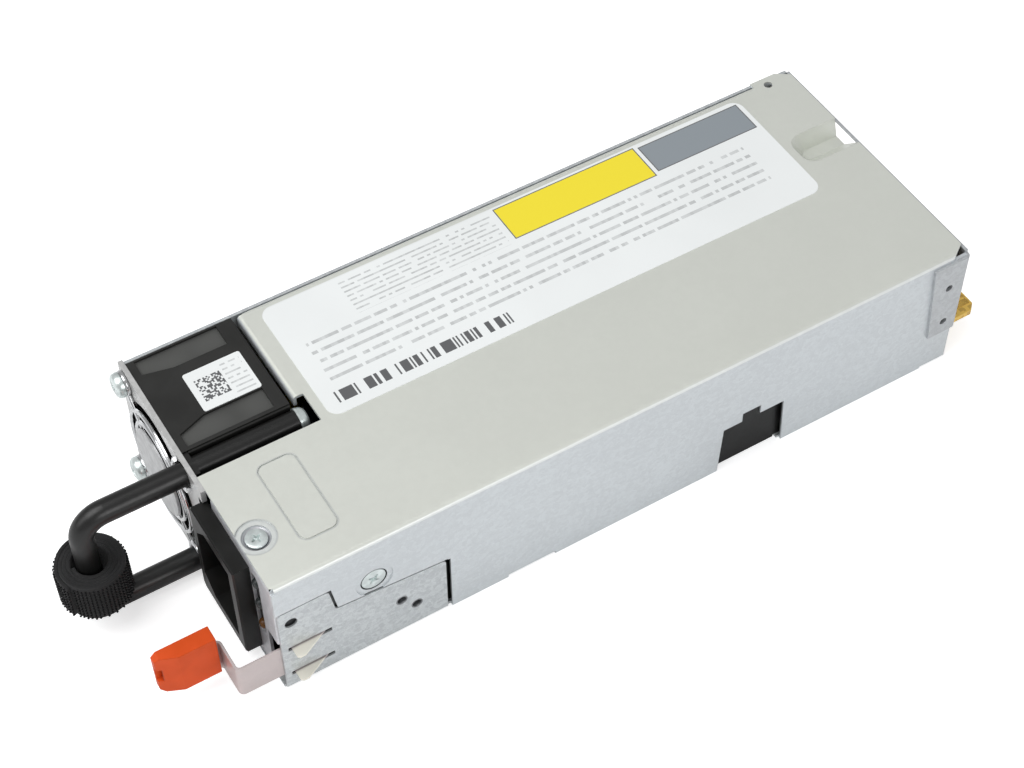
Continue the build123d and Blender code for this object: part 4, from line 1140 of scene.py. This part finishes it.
@dataclass
class Studio:
    """A white floor, soft lights and the camera at the photograph's angle.

    Attributes:
        eye: Where the camera stands, in metres; ahead and up are the ways of its picture.
        focal: Its focal length, in millimetres.
        fill: Strength of the light from all round, and mirrored of what is seen of it in metal.
        glow: Strength of the floor's own white.
        aim: What the lamps face, in metres.
        lamps: Each lamp's name, place in metres, side in metres and power in watts.
    """

    eye: Triple = (0.27160, -0.17391, 0.40920)
    ahead: Triple = (-0.53899, 0.32177, -0.77843)
    up: Triple = (-0.66418, 0.40600, 0.62771)
    focal: float = 74.69
    sensor: float = 36.0
    fill: float = 0.5
    mirrored: float = 0.42
    glow: float = 0.55
    aim: Triple = (0.0, 0.0, 0.02)
    lamps: tuple[tuple[str, Triple, float, float], ...] = (
        ("lamp_key", (-0.1, -0.5, 1.1), 0.9, 7.6),
        ("lamp_front", (-0.2, -1.1, 0.6), 0.6, 1.6),
        ("lamp_side", (1.15, 0.05, 0.6), 0.6, 3.6),
    )

    def build(self) -> None:
        """Sets up the floor, world, lights and camera."""
        self._world()
        self._floor()
        for name, place, size, power in self.lamps:
            self._lamp(name, Vector(place), size, power)
        self._camera()
        bpy.context.scene.view_settings.view_transform = "Standard"

    def _rays(self, tree: bpy.types.NodeTree, first: Ray, *others: Ray) -> Any:
        """One for rays of the given kinds, as a node output."""
        kinds = tree.nodes.new("ShaderNodeLightPath").outputs
        total = kinds[first.value]
        for other in others:
            most = tree.nodes.new("ShaderNodeMath")
            most.operation = "MAXIMUM"
            tree.links.new(total, most.inputs[0])
            tree.links.new(kinds[other.value], most.inputs[1])
            total = most.outputs[0]
        return total

    def _world(self) -> None:
        """A world that shows white, and lights and mirrors more softly than it shows."""
        world = bpy.data.worlds.new("studio_world")
        bpy.context.scene.world = world
        world.use_nodes = True
        tree = world.node_tree
        tree.nodes.clear()
        last = self._background(tree, (0.97, 0.985, 1.0), self.fill)
        for kinds, strength in (((Ray.MIRRORED,), self.mirrored), ((Ray.SEEN, Ray.THROUGH), 1.0)):
            mix = tree.nodes.new("ShaderNodeMixShader")
            tree.links.new(self._rays(tree, *kinds), mix.inputs[0])
            tree.links.new(last, mix.inputs[1])
            tree.links.new(self._background(tree, (1.0, 1.0, 1.0), strength), mix.inputs[2])
            last = mix.outputs[0]
        out = tree.nodes.new("ShaderNodeOutputWorld")
        tree.links.new(last, out.inputs[0])

    def _background(self, tree: bpy.types.NodeTree, colour: Colour, strength: float) -> Any:
        """One even background, as a node output."""
        node = tree.nodes.new("ShaderNodeBackground")
        node.inputs["Color"].default_value = (*colour, 1.0)
        node.inputs["Strength"].default_value = strength
        return node.outputs[0]

    def _floor(self) -> None:
        """A wide pale floor that shows white and keeps a soft shadow."""
        mesh = bmesh.new()
        bmesh.ops.create_grid(mesh, x_segments=2, y_segments=2, size=4.0)
        floor = add_object("floor", as_data("floor", mesh))
        paint = Paint("floor_white")
        plain = paint.node("ShaderNodeBsdfDiffuse", {"Color": (0.86, 0.86, 0.86)}).outputs[0]
        inputs = {"Color": (1.0, 1.0, 1.0), "Strength": self.glow}
        glow = paint.node("ShaderNodeEmission", inputs).outputs[0]
        both = paint.node("ShaderNodeAddShader", {0: plain, 1: glow}).outputs[0]
        rays = self._rays(paint.tree, Ray.SEEN, Ray.THROUGH)
        paint.end(paint.node("ShaderNodeMixShader", {0: rays, 1: plain, 2: both}))
        floor.data.materials.append(paint.material)

    def _lamp(self, name: str, place: Vector, size: float, power: float) -> None:
        """One square soft light; its place and side are in metres and its power in watts."""
        data = bpy.data.lights.new(name, "AREA")
        data.shape = "SQUARE"
        data.size = size
        data.energy = power
        lamp = add_object(name, data)
        lamp.location = place
        lamp.rotation_mode = "QUATERNION"
        lamp.rotation_quaternion = (Vector(self.aim) - place).to_track_quat("-Z", "Y")

    def _camera(self) -> None:
        """The camera of the photograph."""
        ahead, up = Vector(self.ahead).normalized(), Vector(self.up).normalized()
        right = ahead.cross(up).normalized()
        up = right.cross(ahead)
        data = bpy.data.cameras.new("camera")
        data.lens = self.focal
        data.sensor_width = self.sensor
        data.clip_start = 0.01
        data.clip_end = 20.0
        camera = add_object("camera", data)
        turn = Matrix((right, up, -ahead)).transposed().to_4x4()
        camera.matrix_world = Matrix.Translation(Vector(self.eye)) @ turn
        bpy.context.scene.camera = camera


def main() -> None:
    """Builds and dresses the power supply, then the studio round it."""
    logging.basicConfig(level=logging.INFO, format="%(name)s: %(message)s")
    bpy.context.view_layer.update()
    for kind in (FoldedCase, FanUnit, HandleUnit, InletUnit, StatusLights, Latch, Inside):
        names = ", ".join(piece.name for piece in kind().build())
        log.info("%s: %s", kind.__name__, names or "CAD nodes only")
    Studio().build()


if __name__ == "__main__":
    main()
